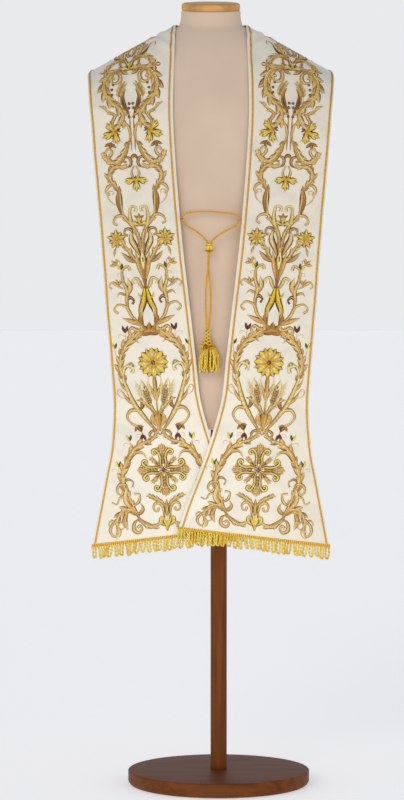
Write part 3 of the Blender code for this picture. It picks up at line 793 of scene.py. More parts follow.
class STOLE_OT_slide_knot(Operator):
    """The slide knot, drawn up tight round both strands: a turned ring with a narrow turn of
    cord above and a fat one below, which a bell-shaped crease parts in two at the front and
    at the back. Painted shade makes it brown inside, underneath, in the creases and in the
    hollows, and a painted highlight makes it bright gold where it bulges out most"""

    bl_idname = "stole.slide_knot"
    bl_label = "Slide knot"

    def execute(self, context):
        profile = [(KNOT_HOLE, KNOT_TOP)]
        profile += bulge(0.0060, 0.0027, 0.0023, 88, -62, 14)
        profile += [(KNOT_HOLE + 0.0010, KNOT_GROOVE)]
        profile += bulge(-0.0026, 0.0036, 0.0062, 74, -88, 26)
        profile += [(KNOT_HOLE, height) for height in np.linspace(KNOT_BOTTOM, KNOT_TOP, 8)]
        points, faces = turned(profile, KNOT_SIDES, KNOT_FLATNESS, knot_relief)
        angle = np.linspace(0, 2 * math.pi, KNOT_SIDES, endpoint=False)
        out, height = np.array(profile).T[:, :, None]
        # Painted light: bright gold where the knot bulges out, and painted shade, brown, inside,
        # underneath, in the partings and in the hollows.
        light_and_tone = smooth_step(out, KNOT_HOLE - 0.0006, KNOT_HOLE + 0.0034)
        light_and_tone = light_and_tone * (1 - 0.9 * knot_hollows(angle, height))
        light_and_tone = light_and_tone * smooth_step(height, KNOT_BOTTOM - 0.001, -0.0004)
        light_and_tone = light_and_tone * (1 - 0.5 * (height < 0.002) * knot_parting(angle, 0.16))
        surface, finish_name = (points + KNOT_AT, faces, points[..., [2, 0]]), "drawn_tight_gold_cord"
        make_piece("knot_loops", surface, finish_name, ("slide_knot",), golds(light_and_tone))
        return {"FINISHED"}


TASSEL_AT, SKIRT_AT = np.array((-0.0075, -0.1360, 0.0)), np.array((-0.0046, -0.1360, 0.0))
# Radius and height of the tassel's head, from the top down, and then of the core, coloured
# brown as painted shade, that shows between its strands and loops.
TASSEL_HEAD = (
    (0.0030, 0.9814), (0.0045, 0.9811), (0.0056, 0.9795), (0.0060, 0.9775), (0.0059, 0.9740),
    (0.0058, 0.9700), (0.0059, 0.9660), (0.0062, 0.9620), (0.0068, 0.9580), (0.0077, 0.9550),
    (0.0086, 0.9528), (0.0090, 0.9510), (0.0086, 0.9500),
)
TASSEL_CORE = (
    (0.0, 0.9806), (0.0034, 0.9803), (0.0040, 0.9750), (0.0044, 0.9620), (0.0080, 0.9520),
    (0.0110, 0.9470), (0.0125, 0.9420), (0.0, 0.9415),
)
HEAD_TOP, HEAD_BOTTOM, HEAD_STATIONS, HEAD_PITCH = 0.9803, 0.9505, 60, 0.0215
HEAD_THREAD, HEAD_FLATNESS, LOOP_THREAD = 0.0018, 0.85, 0.0011
# Loops, radius and height of each tier of the ruff.
RUFF_TIERS = (11, 0.0094, 0.9524), (15, 0.0136, 0.9478), (15, 0.0132, 0.9432)
# Strands, radius and start, as a share of a turn, of each ring of the skirt.
SKIRT_RINGS = (18, 0.0184, 0.0), (13, 0.0126, 0.4)
SKIRT_TOP, SKIRT_ENDS, SKIRT_STATIONS = 0.9450, (0.8924, 0.8970), 26
SKIRT_PLY, SKIRT_PITCH, SKIRT_THREAD, SKIRT_FLATNESS = 0.00098, 0.0145, 0.00134, 0.64


class STOLE_OT_tassel(Operator):
    """The tassel: a head of strands wound both ways round a core and crossing over and under,
    a ruff of small open loops in three tiers at its foot, and two-ply strands hung from two
    oval rings"""

    bl_idname = "stole.tassel"
    bl_label = "Tassel"

    def execute(self, context):
        rng = np.random.default_rng(7)
        self.wind_head()
        self.loop_ruff(rng)
        self.hang_skirt(rng)
        return {"FINISHED"}

    def bind(self, name, surface, replaces, light_and_tone):
        """Makes one gold piece of the tassel."""
        make_piece(name, surface, "gold_bullion_thread", replaces, golds(light_and_tone))

    def wind_head(self):
        """A core coloured brown as painted shade between the strands, and three strands wound each
        way, whose radius swings in and out as they cross; each strand is painted lighter where it
        crosses over and darker where it passes under."""
        radii, levels = np.array(TASSEL_HEAD).T
        heights = np.linspace(HEAD_TOP, HEAD_BOTTOM, HEAD_STATIONS)
        climb = (heights - heights[0]) * 2 * math.pi / HEAD_PITCH
        way = np.array((1, 1, 1, -1, -1, -1))[:, None]
        angle = way * climb + np.array((0, 1, 2, 0, 1, 2))[:, None] * 2 * math.pi / 3 - 1.0
        swing = 0.0005 * way * np.cos(3 * climb)
        out = np.interp(-heights, -levels, radii) - 0.0017
        out = out + 0.0018 * smooth_step(heights, 0.978, 0.955) + swing
        y = HEAD_FLATNESS * out * np.sin(angle)
        strands = [out * np.cos(angle), y, heights + 0 * angle]
        strands = np.stack(strands, axis=-1) + TASSEL_AT
        # Painted light and shade: lighter where a strand swings out over another, darker where it
        # passes under.
        light_and_tone = on_tubes(0.55 + 0.40 * way * np.cos(3 * climb), 10)
        surface = tubes(strands, HEAD_THREAD, 10, (0.2, 0.1, 1))
        self.bind("tassel_bound_head", surface, ("tassel_head",), light_and_tone)
        # The core's brown is painted shade showing between the strands and loops.
        points, faces = turned(TASSEL_CORE, 40, 0.8)
        surface = points + TASSEL_AT, faces, points[..., [0, 2]]
        make_piece("tassel_core", surface, "matt_thread_and_core_shade", (), "brown")

    def loop_ruff(self, rng):
        """Small open loops that stand out all round, each in the plane of its own slant."""
        count, out, level = np.array([row for row in RUFF_TIERS for _ in range(row[0])]).T
        number = np.concatenate([np.arange(row[0]) for row in RUFF_TIERS])
        each = len(count), 1
        turn = 2 * math.pi * (number + 0.5 * (level < 0.95)) / count
        turn = turn[:, None] + rng.uniform(-0.12, 0.12, each)
        tilt = rng.uniform(-0.4, 1.9, each)
        size = rng.uniform(0.0021, 0.0028, each)
        around = np.linspace(-0.80, 0.80, 15) * math.pi
        reach = out[:, None] + size * np.cos(around)
        sideways = size * np.sin(around) * np.cos(tilt)
        rise = size * np.sin(around) * np.sin(tilt) + rng.uniform(-0.001, 0.001, each)
        x = reach * np.cos(turn) - sideways * np.sin(turn)
        y = 0.74 * (reach * np.sin(turn) + sideways * np.cos(turn))
        loops = np.stack([x, y, level[:, None] + rise - 0.0015 * (reach > 0.013)], axis=-1)
        # Each loop's gold is picked at random from brown to bright, which is partly the loops' own
        # variety and partly painted shade among them.
        light_and_tone = on_tubes(rng.uniform(0.25, 1.0, each) + 0 * around, 7)
        surface = tubes(loops + TASSEL_AT, LOOP_THREAD, 7, (0.1, 0.2, 1))
        self.bind("tassel_loops", surface, ("tassel_ruff",), light_and_tone)

    def hang_skirt(self, rng):
        """Strands spaced round two ovals, swelling out below the ruff, of uneven length."""
        rings = [(n / many + start, out) for many, out, start in SKIRT_RINGS for n in range(many)]
        rings = np.array(rings)
        reach, each = rings[:, 1:], (len(rings), 1)
        turn = 2 * math.pi * rings[:, :1] + rng.uniform(-0.07, 0.07, each)
        u = np.linspace(0, 1, SKIRT_STATIONS)
        swell = 0.55 + 0.45 * smooth_step(u, -0.05, 0.42) + 0.05 * u
        swell = reach * (swell + rng.uniform(-0.06, 0.06, each) * u)
        turn = turn + rng.uniform(-0.10, 0.10, each) * u
        end = rng.uniform(*SKIRT_ENDS, each)
        # One strand at the side stands out a little more than the others.
        swell[0], end[0] = swell[0] * 1.10, 0.8968
        sway = 0.0018 * np.sin(u * rng.uniform(4, 8, each) + rng.uniform(0, 6, each))
        x, y = swell * np.cos(turn) + sway * u, SKIRT_FLATNESS * swell * np.sin(turn)
        strands = np.stack([x, y, SKIRT_TOP + (end - SKIRT_TOP) * u], axis=-1) + SKIRT_AT
        twisted = plies(strands, 2, SKIRT_PLY, SKIRT_PITCH, rng.uniform(0, 6, len(rings)))
        # Painted shade: the inner ring's strands are dark, as in shade behind the outer ones, and every
        # strand darkens towards its top, in the ruff's shade; the outer strands also vary at random.
        light_and_tone = np.tile(np.where(reach > 0.015, rng.uniform(0.62, 1.15, each), 0.2), (2, 1))
        light_and_tone = on_tubes(light_and_tone - 0.25 * smooth_step(u, 0.22, 0.0), 8)
        self.bind("tassel_strands", tubes(twisted, SKIRT_THREAD, 8), ("tassel_skirt",), light_and_tone)


# ---------- cloth and trim

BRAID_WIDTH, BRAID_STARTS, BRAID_STEP = 0.004, 0.0076, 0.0012
BRAID_INSETS = {"inner": 0.0080, "outer": 0.0050}
HEADING_HEIGHT, HEADING_OVERHANG, HEADING_STEP = 0.0065, 0.0016, 0.0006
# Gap to the cloth, thickness, and how far the waves or ribs stand up.
BRAID_RISE, HEADING_RISE = (0.0001, 0.0012, 0.00035), (0.0002, 0.0006, 0.0018)
FRINGE_OVERHANG, FRINGE_LIFT, FRINGE_STATIONS = 0.001, 0.0021, 24
FRINGE_PLY, FRINGE_PITCH, FRINGE_THREAD = 0.00106, 0.0150, 0.00144


def cloth_section():
    """One closed section of the cloth: its across, how far inside the edge it lies, and its
    lift. It goes from the inner edge over the face to the outer edge and back: a flat wall
    whose edges are rolled to a half circle. Face and back have the same columns."""
    face = np.linspace(0, 1, 37)
    roll = np.linspace(math.pi / 2, -math.pi / 2, 5)[1:-1]
    half = CLOTH / 2
    across = np.concatenate([face, 1 + 0 * roll, face[::-1], 0 * roll])
    inset = half * np.concatenate([0 * face, 1 - np.cos(roll), 0 * face, np.cos(roll) - 1])
    inset[[0, 2 * len(face) + len(roll) - 1]] = -half
    inset[[len(face) - 1, len(face) + len(roll)]] = half
    upper = half + half * np.sin(roll)
    lift = np.concatenate([CLOTH + 0 * face, upper, 0 * face, upper[::-1]])
    return across, inset, lift


class STOLE_OT_cloth(Operator):
    """The two strips of satin: one closed section carried up the strip, over the shoulder and
    down the back to the centre seam"""

    bl_idname = "stole.cloth"
    bl_label = "Cloth strips"

    def execute(self, context):
        across, inset, lift = cloth_section()
        # The rows are closest at the hem and the seam, and the wall closes to its middle there.
        at_hem, above = np.linspace(0, 0.012, 5), np.linspace(0.016, STRIP_LENGTH - 0.004, 280)
        at_seam = [STRIP_LENGTH - 0.0015, STRIP_LENGTH - SEAM_GAP / 2]
        rows = with_end_rows(np.concatenate([at_hem, above, at_seam]))[:, None]
        thick = np.ones_like(rows)
        thick[[0, -1]] = 0.0
        shares = across - inset / strip_width(rows)
        lifts = CLOTH / 2 + (lift - CLOTH / 2) * thick
        uv = np.stack([(shares - 0.5) * strip_width(rows), rows + 0 * shares], axis=-1)
        faces = grid_faces(len(rows), len(across), True)
        for side_name, side in SIDES:
            points = strip_point(side, rows, shares, lifts, context.scene.stole_sizes.relief)
            surface, replaces = (points, faces, uv), (f"stole_panel_{side_name}",)
            cloth = make_piece(f"cloth_{side_name}", surface, "woven_satin", replaces)
        return {"FINISHED"}


class STOLE_OT_edge_braids(Operator):
    """The gold gimp beside each edge: a domed section carried up the strip, its surface raised
    and sunk by the product of two slanting waves, as plaited strands are"""

    bl_idname = "stole.edge_braids"
    bl_label = "Edge braids"

    def execute(self, context):
        sizes = context.scene.stole_sizes
        along = np.arange(BRAID_STARTS, STRIP_LENGTH - SEAM_GAP / 2, BRAID_STEP)[:, None]
        width, turn = strip_width(along), np.linspace(0, math.pi, 8)
        shape = np.concatenate([-np.cos(turn), [0.6, -0.6]])
        dome = np.concatenate([np.sin(turn) ** 0.7, [0.0, 0.0]])
        waves = np.sin(2 * math.pi * (along / sizes.plait + shape * 0.5))
        waves = waves * np.sin(2 * math.pi * (along / sizes.plait - shape * 0.5))
        gap, thick, high = BRAID_RISE
        lift = CLOTH + gap + dome * (thick + high * waves)
        offset = shape * BRAID_WIDTH / 2
        uv = np.stack(np.broadcast_arrays(offset, with_end_rows(along)), axis=-1)
        faces = grid_faces(len(along) + 2, len(shape), True)
        for side_name, side in SIDES:
            for edge, inset in BRAID_INSETS.items():
                middle = inset / width if edge == "inner" else 1 - inset / width
                points = strip_point(side, along, middle + offset / width, lift, sizes.relief)
                name, surface = f"gimp_{edge}_{side_name}", (closed_ends(points), faces, uv)
                replaces = (f"edge_braid_{edge}_{side_name}",)
                make_piece(name, surface, "braided_gold_gimp", replaces, "braid")
        return {"FINISHED"}


class STOLE_OT_fringe(Operator):
    """The fringe on each hem: a heading of two rows of upright ribs, and two-ply strands of
    uneven length that hang from it in pairs, each pair closing in a round loop"""

    bl_idname = "stole.fringe"
    bl_label = "Heading and fringe"

    def execute(self, context):
        rng = np.random.default_rng(11)
        hem = float(strip_width(0.0))
        for side_name, side in SIDES:
            self.sew_heading(context.scene.stole_sizes, hem, side_name, side)
            self.hang_strands(context.scene.stole_sizes, hem, side_name, side, rng)
        return {"FINISHED"}

    def sew_heading(self, sizes, hem, side_name, side):
        """A flat section whose face is raised by a rectified sine along the hem, and less so
        along its middle, which parts the two rows."""
        from_inner = np.arange(-HEADING_OVERHANG, hem + HEADING_OVERHANG, HEADING_STEP)[:, None]
        turn = np.linspace(0, 2 * math.pi, 16, endpoint=False)
        along = HEADING_HEIGHT / 2 - HEADING_HEIGHT / 2 * np.cos(turn)
        ribs = np.abs(np.sin(math.pi * from_inner / sizes.heading_rib))
        ribs = ribs * (0.4 + 0.6 * np.abs(np.cos(turn)))
        face = np.clip(np.sin(turn), 0, 1) ** 0.35
        gap, thick, high = HEADING_RISE
        lift = CLOTH + gap + face * (thick + high * ribs)
        points = strip_point(side, along, from_inner / hem, lift, sizes.relief)
        faces = grid_faces(len(from_inner) + 2, len(turn), True)
        uv = np.stack(np.broadcast_arrays(with_end_rows(from_inner), along), axis=-1)
        # Painted light: the ribs' tops are bright gold and the hollows between them painted brown as
        # shade.
        colour = golds(0.22 + 0.90 * with_end_rows(ribs) ** 1.6)
        surface, name = (closed_ends(points), faces, uv), f"heading_{side_name}"
        replaces = (f"fringe_{name}",)
        make_piece(name, surface, "gold_bullion_thread", replaces, colour)

    def hang_strands(self, sizes, hem, side_name, side, rng):
        """Strands straight down from the hem, in pairs that share their length and sway and
        bow apart by a half sine; a quarter circle at their ends joins a pair's two legs."""
        hem_reach = hem + 2 * FRINGE_OVERHANG
        pairs = int(hem_reach / sizes.fringe_spacing / 2)
        count = 2 * pairs
        place = (np.arange(count) + 0.5) / count * hem_reach - FRINGE_OVERHANG
        leg = np.tile((side, -side), pairs)[:, None]
        root = strip_point(side, 0.0002, place / hem, FRINGE_LIFT, sizes.relief)
        u = np.linspace(0, 1, FRINGE_STATIONS)
        drop = sizes.fringe_length * (1 - rng.uniform(0, 0.17, (pairs, 1)))
        sway = rng.uniform(-0.0040, 0.0040, (pairs, 1)) * u**1.3
        sway = sway + rng.uniform(-0.0010, 0.0010, (pairs, 1)) * np.sin(math.pi * u)
        bow = rng.uniform(-0.7, 1.0, (pairs, 1)) * np.sin(math.pi * u)
        forward = rng.uniform(-0.0016, 0.0016, (pairs, 1)) * u
        drop, sway, bow, forward = (np.repeat(each, 2, axis=0) for each in (drop, sway, bow, forward))
        close = 1 - np.sqrt(1 - np.clip((u - 0.86) / 0.14, 0, 1) ** 2)
        inward = leg * (close * sizes.fringe_spacing / 2 - 0.0008 * bow)
        strands = np.stack([sway + inward, forward, -drop * u + 0.0012 * (1 - u)], axis=-1)
        strands = root[:, None, :] + strands
        twisted = plies(strands, 2, FRINGE_PLY, FRINGE_PITCH, rng.uniform(0, 6, count))
        # Each strand's gold varies at random, and painted shade darkens it under the heading and
        # towards its loop.
        light_and_tone = np.tile(rng.uniform(0.68, 1.50, (count, 1)), (2, 1))
        light_and_tone = light_and_tone - 0.3 * (smooth_step(u, 0.25, 0) + 0.6 * smooth_step(u, 0.75, 1))
        surface, colour = tubes(twisted, FRINGE_THREAD, 6), golds(on_tubes(light_and_tone, 6))
        name, replaces = f"fringe_hem_{side_name}", (f"fringe_skirt_{side_name}",)
        make_piece(name, surface, "gold_bullion_thread", replaces, colour)


# ---------- dress form and stand

NECK_TILT, NECK_TOP_Z, TORSO_BOTTOM_Z = math.radians(7.4), 1.6592, 0.768
# A rim is rounded by one radius above and by another below.
CAP_RADIUS, CAP_HEIGHT, CAP_RIM, CAP_FLATNESS = 0.0625, 0.0145, (0.006, 0.002), 0.98
BASE_RADIUS, BASE_HEIGHT, BASE_RIM = 0.195, 0.031, (0.0025, 0.010)
POST_RADIUS, POST_CHAMFER, POST_AT = 0.0175, 0.0005, np.array((0.017, 0.0, 0.0))
JOINT_GAP = 0.0003
TORSO = (
    # Height, half-width, then what scales the shared surface's depth in front and behind, and
    # how square the section is.
    (TORSO_BOTTOM_Z, 0.128, 0.60, 0.66, 2.4), (0.7705, 0.146, 0.70, 0.77, 2.4),
    (0.779, 0.160, 0.79, 0.86, 2.4), (0.800, 0.168, 0.84, 0.92, 2.4),
    (0.860, 0.174, 0.87, 0.97, 2.4), (0.930, 0.175, 0.88, 0.98, 2.4),
    (1.010, 0.168, 0.87, 0.93, 2.4), (1.110, 0.157, 0.87, 0.86, 2.4),
    (1.200, 0.160, 0.90, 0.88, 2.5), (1.290, 0.172, 0.97, 0.95, 2.7),
    (1.360, 0.187, 1.00, 1.00, 3.0), (1.410, 0.203, 1.00, 1.00, 3.4),
    (1.450, 0.215, 1.00, 1.00, 3.8), (1.480, 0.222, 1.00, 1.00, 4.0),
    (1.505, 0.226, 1.00, 1.00, 4.0), (1.545, 0.228, 1.00, 1.00, 4.0),
    (1.660, 0.228, 1.00, 1.00, 4.0),
)
NECK = (
    # Height, half-width, half-depth and share of the neck's tilt.
    (1.6230, 0.0700, 0.0600, 0.0), (1.6290, 0.0665, 0.0600, 0.1), (1.6370, 0.0645, 0.0600, 0.35),
    (1.6470, 0.0632, 0.0602, 0.7), (1.6565, 0.0626, 0.0604, 0.96), (NECK_TOP_Z, 0.0604, 0.0584, 1.0),
)
FORM_SIDES = 144


def table_at(table, z):
    """The table's other columns at these heights, on smooth curves through its rows."""
    heights, *others = np.array(table).T
    return [smooth_through(heights, each, z)[:, None] for each in others]


def torso_rings(z):
    """Level sections of the torso, from one side round the front: a superellipse whose depth
    is that of the strips' surface, less the gap that the cloth keeps."""
    width, front, back, square = table_at(TORSO, z)
    z = z[:, None]
    ridge_reach = RIDGE_X + (RIDGE_Z - z) / math.tan(RIDGE_SLOPE)
    reach = np.minimum(width, ridge_reach - REST_GAP / math.sin(RIDGE_SLOPE))
    angles = np.linspace(0, 2 * math.pi, FORM_SIDES, endpoint=False)
    x = -reach * np.cos(angles)
    is_front = np.broadcast_to(np.sin(angles) > 0, x.shape)
    across = np.abs(x)
    below = (RIDGE_Z - z) * math.cos(RIDGE_SLOPE)
    below = below - (across - RIDGE_X) * math.sin(RIDGE_SLOPE) - REST_GAP
    depth, share = fullness(across, rounded_below(across, below), is_front)
    cut = np.clip(1 - (across / width) ** square, 0, None) ** (1 / square)
    y = (depth - REST_GAP) * share * cut * np.where(is_front, front, back)
    y[:, [0, FORM_SIDES // 2]] = 0.0
    return np.stack([x, np.where(is_front, -y, y), z + 0 * x], axis=-1)


def neck_rings():
    """Oval sections of the neck, each tilted forward by its share of the tilt."""
    z = np.linspace(NECK[0][0], NECK_TOP_Z, 16)
    width, depth, share = table_at(NECK, z)
    angles = np.linspace(0, 2 * math.pi, FORM_SIDES, endpoint=False)
    x, y = -width * np.cos(angles), -depth * np.sin(angles)
    return np.stack([x, y, z[:, None] + y * math.tan(NECK_TILT) * share], axis=-1)


class STOLE_OT_dress_form(Operator):
    """The limbless dress form: level sections from the waist to the shoulder ridge and on up
    the neck, closed below and above, with a turned wooden cap tilted as the neck's top is"""

    bl_idname = "stole.dress_form"
    bl_label = "Dress form"

    def execute(self, context):
        foot = [TORSO_BOTTOM_Z, 0.7687, 0.7705, 0.7745, 0.779, 0.788]
        body, shoulders = np.linspace(0.80, 1.48, 60), np.linspace(1.488, 1.6185, 34)
        levels = np.concatenate([foot, body, shoulders])
        points = closed_ends(np.concatenate([torso_rings(levels), neck_rings()]))
        faces = grid_faces(len(points), FORM_SIDES, True)
        make_piece("form_body", (points, faces), "cotton_jersey", ("form_torso",))
        profile, (above, below) = [(0.0, CAP_HEIGHT), (0.03, CAP_HEIGHT)], CAP_RIM
        profile += arc(CAP_RADIUS - above, CAP_HEIGHT - above, above, 90, 0, 9)
        profile += arc(CAP_RADIUS - below, below, below, 0, -90, 5) + [(0.03, 0.0), (0.0, 0.0)]
        points, faces = turned(profile, 96, CAP_FLATNESS)
        y, z = points[..., 1].copy(), points[..., 2].copy()
        points[..., 1] = y * math.cos(NECK_TILT) - z * math.sin(NECK_TILT)
        points[..., 2] = y * math.sin(NECK_TILT) + z * math.cos(NECK_TILT) + NECK_TOP_Z + JOINT_GAP
        make_piece("form_cap", (points, faces), "honey_beech", ("neck_cap",))
        return {"FINISHED"}


class STOLE_OT_stand(Operator):
    """The stand: a turned post and a round base with a softened rim, each a profile once
    round its axis"""

    bl_idname = "stole.stand"
    bl_label = "Stand"

    def execute(self, context):
        foot, head = BASE_HEIGHT + JOINT_GAP, TORSO_BOTTOM_Z - JOINT_GAP
        inner, cut = POST_RADIUS - POST_CHAMFER, POST_CHAMFER
        post = [(0.0, head), (inner, head), (POST_RADIUS, head - cut)]
        post += [(POST_RADIUS, z) for z in np.linspace(head - 0.01, foot + 0.01, 24)]
        post += [(POST_RADIUS, foot + cut), (inner, foot), (0.0, foot)]
        base, (above, below) = [(x, BASE_HEIGHT) for x in (0.0, 0.06, 0.12)], BASE_RIM
        base += arc(BASE_RADIUS - above, BASE_HEIGHT - above, above, 90, 0, 7)
        base += [(BASE_RADIUS, z) for z in (0.024, 0.020, 0.016, 0.012)]
        base += arc(BASE_RADIUS - below, below, below, 0, -90, 9) + [(0.12, 0.0), (0.0, 0.0)]
        for name, profile, sides, finish_name in (
            ("post", post, 64, "mahogany_stained_rod"),
            ("base", base, 160, "mahogany_stained_board"),
        ):
            points, faces = turned(profile, sides)
            surface = points + POST_AT, faces
            make_piece(f"stand_{name}", surface, finish_name, (name,))
        return {"FINISHED"}


# ---------- embroidery

# Half-widths of a stitched shape at even shares of its length, as parts of its widest.
OUTLINES = {
    "even": (0.50, 0.92, 1.00, 1.00, 0.92, 0.50),
    "stem": (0.30, 0.85, 1.00, 0.85, 0.60, 0.20),
    "rising": (0.15, 0.35, 0.60, 0.85, 1.00, 0.45),
    "leaf": (0.10, 0.66, 0.98, 1.00, 0.62, 0.05),
    "petal": (0.24, 0.60, 0.92, 1.00, 0.64, 0.04),
    "flame": (0.75, 1.00, 0.88, 0.62, 0.34, 0.04),
    "lobe": (0.60, 0.95, 1.00, 0.84, 0.55, 0.10),
    "drop": (0.12, 0.38, 0.70, 0.95, 1.00, 0.55),
    "scroll": (0.20, 0.75, 1.00, 0.72, 0.50, 0.72),
    "bead": (0.30, 0.88, 1.00, 1.00, 0.88, 0.30),
}
# Points of a long and of a short shape's middle line.
LONG, SHORT = 38, 10
# Columns of a stitched shape from edge to edge and on its underside, with what its red, green
# and blue are multiplied by there: a painted highlight on one side, and painted shade, dark and
# warm, at the edges, where an outline thread runs too, and underneath.
COLUMNS = np.array((-1.0, -0.55, 0.30, 1.0))
PAINTED_LIGHT_ACROSS = np.array((
    (0.72, 0.61, 0.42), (1.28, 1.24, 1.14), (1.04, 1.01, 0.94), (0.58, 0.46, 0.29),
    (0.66, 0.55, 0.38),
))
# A shape whose half-width is this many millimetres, or more, is as high as a shape gets, and
# the thinnest one has this share of the height.
PADDED, THINNEST = 2.2, 0.35
# Every other station of a long shape is darker: painted shade for the light and shade of banded couched
# threads.
BAND_SHADE = 0.10
# How far each layer stands above the one under it and a rib above its shape, as shares of
# the stitch height, and how far the lowest layer stands off the cloth and its underside sinks
# into it.
LAYER_STEP, RIB_STEP, STAND_OFF, SINK = 0.16, 0.22, 0.00012, 0.0003
# Thread colours from a shape's root to its tip.
GOLD, CREAMY, SHADED = ("old_gold", "pale_gold"), ("old_gold", "cream"), ("brown", "old_gold")
RUSSET, LEMON, PLUME = ("brown", "pale_gold"), ("lemon_dark", "lemon"), ("red", "brown")


def heading_of(path):
    """Direction of travel at each point of a flat path, in radians."""
    step = np.gradient(path, axis=0)
    return np.arctan2(step[:, 1], step[:, 0])


def smooth_path(points, count):
    """A smooth curve through the points, count points long and evenly spaced."""
    return evenly(curve_through(points, 160), count)


def swept_path(start, heading, length, turn, count=SHORT, power=1.0, shrink=0.0):
    """A curve that starts out at heading, in degrees from across, and has turned by turn times
    u to the power at share u of its way, its steps shrinking by shrink towards its end."""
    u = np.linspace(0, 1, count)
    angle = np.radians(heading + turn * u**power)
    step = 1 - shrink * u
    step = step * length / (step.sum() - step[0])
    move = np.stack([np.cos(angle), np.sin(angle)], axis=-1) * step[:, None]
    move = (move[1:] + move[:-1]) / 2
    return np.asarray(start, float) + np.concatenate([[(0.0, 0.0)], np.cumsum(move, axis=0)])


class Needlework:
    """Collects stitched shapes, drawn flat in millimetres: x out from the strip's middle line
    and y up from the hem. Each is a middle line with a half-width, a height, a layer and a
    colour, or a pair of them from its root to its tip."""

    def __init__(self):
        self.shapes = {LONG: [], SHORT: []}

    def add(self, path, width, outline, colours, height=1.0, layer=0, mirror=True):
        """Adds the shape and, unless mirror is off, its mirror image."""
        count = LONG if len(path) > 2 * SHORT else SHORT
        if len(path) != count:
            path = smooth_path(path, count)
        table = OUTLINES[outline]
        half = np.interp(np.linspace(0, 1, count), np.linspace(0, 1, len(table)), table)
        root, tip = (colours, colours) if isinstance(colours, str) else colours
        ends = np.array(colour_of(root)), np.array(colour_of(tip))
        for sign in (1, -1) if mirror else (1,):
            self.shapes[count].append((path * (sign, 1), half * width, *ends, height, layer, sign))

    def rib(self, path, width, colour, layer=0, over=1.15, mirror=True):
        """A thin stroke that rides on a shape whose height is over."""
        height = (over + RIB_STEP) / min(max(width / PADDED, THINNEST), 1.0)
        self.add(path, width, "stem", colour, height, layer, mirror)

    def line(self, points, width, colours="old_gold", outline="stem", **more):
        """A long shape along a curve through the points."""
        self.add(smooth_path(points, LONG), width, outline, colours, **more)

    def blade(self, points, width, colours=GOLD, outline="leaf", **more):
        """A short shape along a curve through the points."""
        self.add(smooth_path(points, SHORT), width, outline, colours, **more)

    def curl(self, start, heading, length, turn, width=0.7, **more):
        """A tendril that winds up tighter and tighter."""
        path = swept_path(start, heading, length, turn, LONG, 2.0, 0.75)
        self.add(path, width, "scroll", "pale_gold", **more)

    def acanthus(self, points, width, reach, lobes=6, sides=(1, -1), layer=1):
        """A scroll of acanthus: a body with a cream rib along one side as a painted highlight and a
        brown one along the other as painted shade, and pointed lobes that leave it at a slant on
        either side, at even shares of its length, and bend away from it but turn with it too. reach
        is a lobe's length, which grows towards the middle by a half sine."""
        path = smooth_path(points, LONG)
        heading = np.unwrap(heading_of(path))
        step = np.linalg.norm(path[1] - path[0])
        normal = np.stack([-np.sin(heading), np.cos(heading)], axis=-1)
        for side in sides:
            for number in range(lobes):
                u = min(0.03 + 0.83 * (number + 0.4 * (side < 0)) / (lobes - 1), 1.0)
                at = int(u * (LONG - 1))
                size = reach * (0.72 + 0.45 * math.sin(math.pi * u))
                start = path[at] + normal[at] * side * width * 0.25
                first = math.degrees(heading[at]) + side * 14
                ahead = min(at + int(size / step), LONG - 1)
                bend = side * 36 + 0.75 * math.degrees(heading[ahead] - heading[at])
                lobe = swept_path(start, first, size, bend, SHORT, 1.4)
                colours, vein = (GOLD, "cream") if number % 3 else (RUSSET, "brown")
                self.add(lobe, size * 0.27, "lobe", colours, 0.9, layer - 1)
                self.rib(lobe[1:-1], size * 0.05, vein, layer - 1, 0.9)
        self.add(path, width, "scroll", GOLD, 1.0, layer)
        # A painted highlight along one side of the body and painted shade along the other.
        self.rib(path + normal * width * 0.30, width * 0.24, "cream", layer, 0.95)
        self.rib(path - normal * width * 0.40, width * 0.17, "brown", layer, 0.85)

    def hook(self, points, width, colours=GOLD, **more):
        """A tapering stroke whose tip rolls over into a small knob, with a cream rib along it as a
        painted highlight.
        """
        path = smooth_path(points, LONG)
        self.add(path, width, "scroll", colours, **more)
        self.rib(path[1:-2], width * 0.27, "cream", more.get("layer", 0), 1.0)

    def petal(self, path, width, colours=LEMON, layer=2, mirror=True, outline="petal"):
        """A satin-stitched petal with a brown outline thread round it, which also stands for painted
        shade at its edge, and a white rib along it as a painted highlight.
        """
        self.add(path, width * 1.20, outline, "brown", 0.8, layer - 0.6, mirror)
        self.add(path, width, outline, colours, 1.15, layer, mirror)
        self.rib(path[2:-1], width * 0.20, "white", layer, 1.15, mirror)

    def ring(self, centre, radius, count, width, colours, turn, layer, **more):
        """Petals round a centre, from a tenth of the radius outwards."""
        for each in np.radians(turn + 360 * np.arange(count) / count):
            way = np.array((math.cos(each), math.sin(each)))
            path = centre + way * np.linspace(0.10, 1.0, SHORT)[:, None] * radius
            self.petal(path, width, colours, layer, **more)

    def sprig(self, start, heading, length, leaf, colours, bend, tendril=True):
        """A thin stem with a pair of leaflets in a V at its end and a tendril beside it."""
        stem = swept_path(start, heading, length, bend)
        self.add(stem, 0.7, "even", "pale_gold", 0.6)
        end, way = stem[-1], heading + bend
        for spread, colour in ((30, colours[0]), (-22, colours[1])):
            path = swept_path(end, way + spread, leaf, -spread * 0.5)
            self.add(path, leaf * 0.18, "leaf", colour, 0.8, 1)
            self.add(path, leaf * 0.05, "stem", "old_gold", 1.2, 1)
        if tendril:
            self.curl(stem[5], heading - 38, length * 1.2, -330, 0.6, height=0.5)

    def blossom(self, at, heading, size, colours=SHADED):
        """A small flower of three pointed petals."""
        for turn in (-42, 42, 0):
            path = swept_path(at, heading + turn, size, turn * 0.4)
            self.add(path, size * 0.20, "leaf", colours, 0.9, 1)

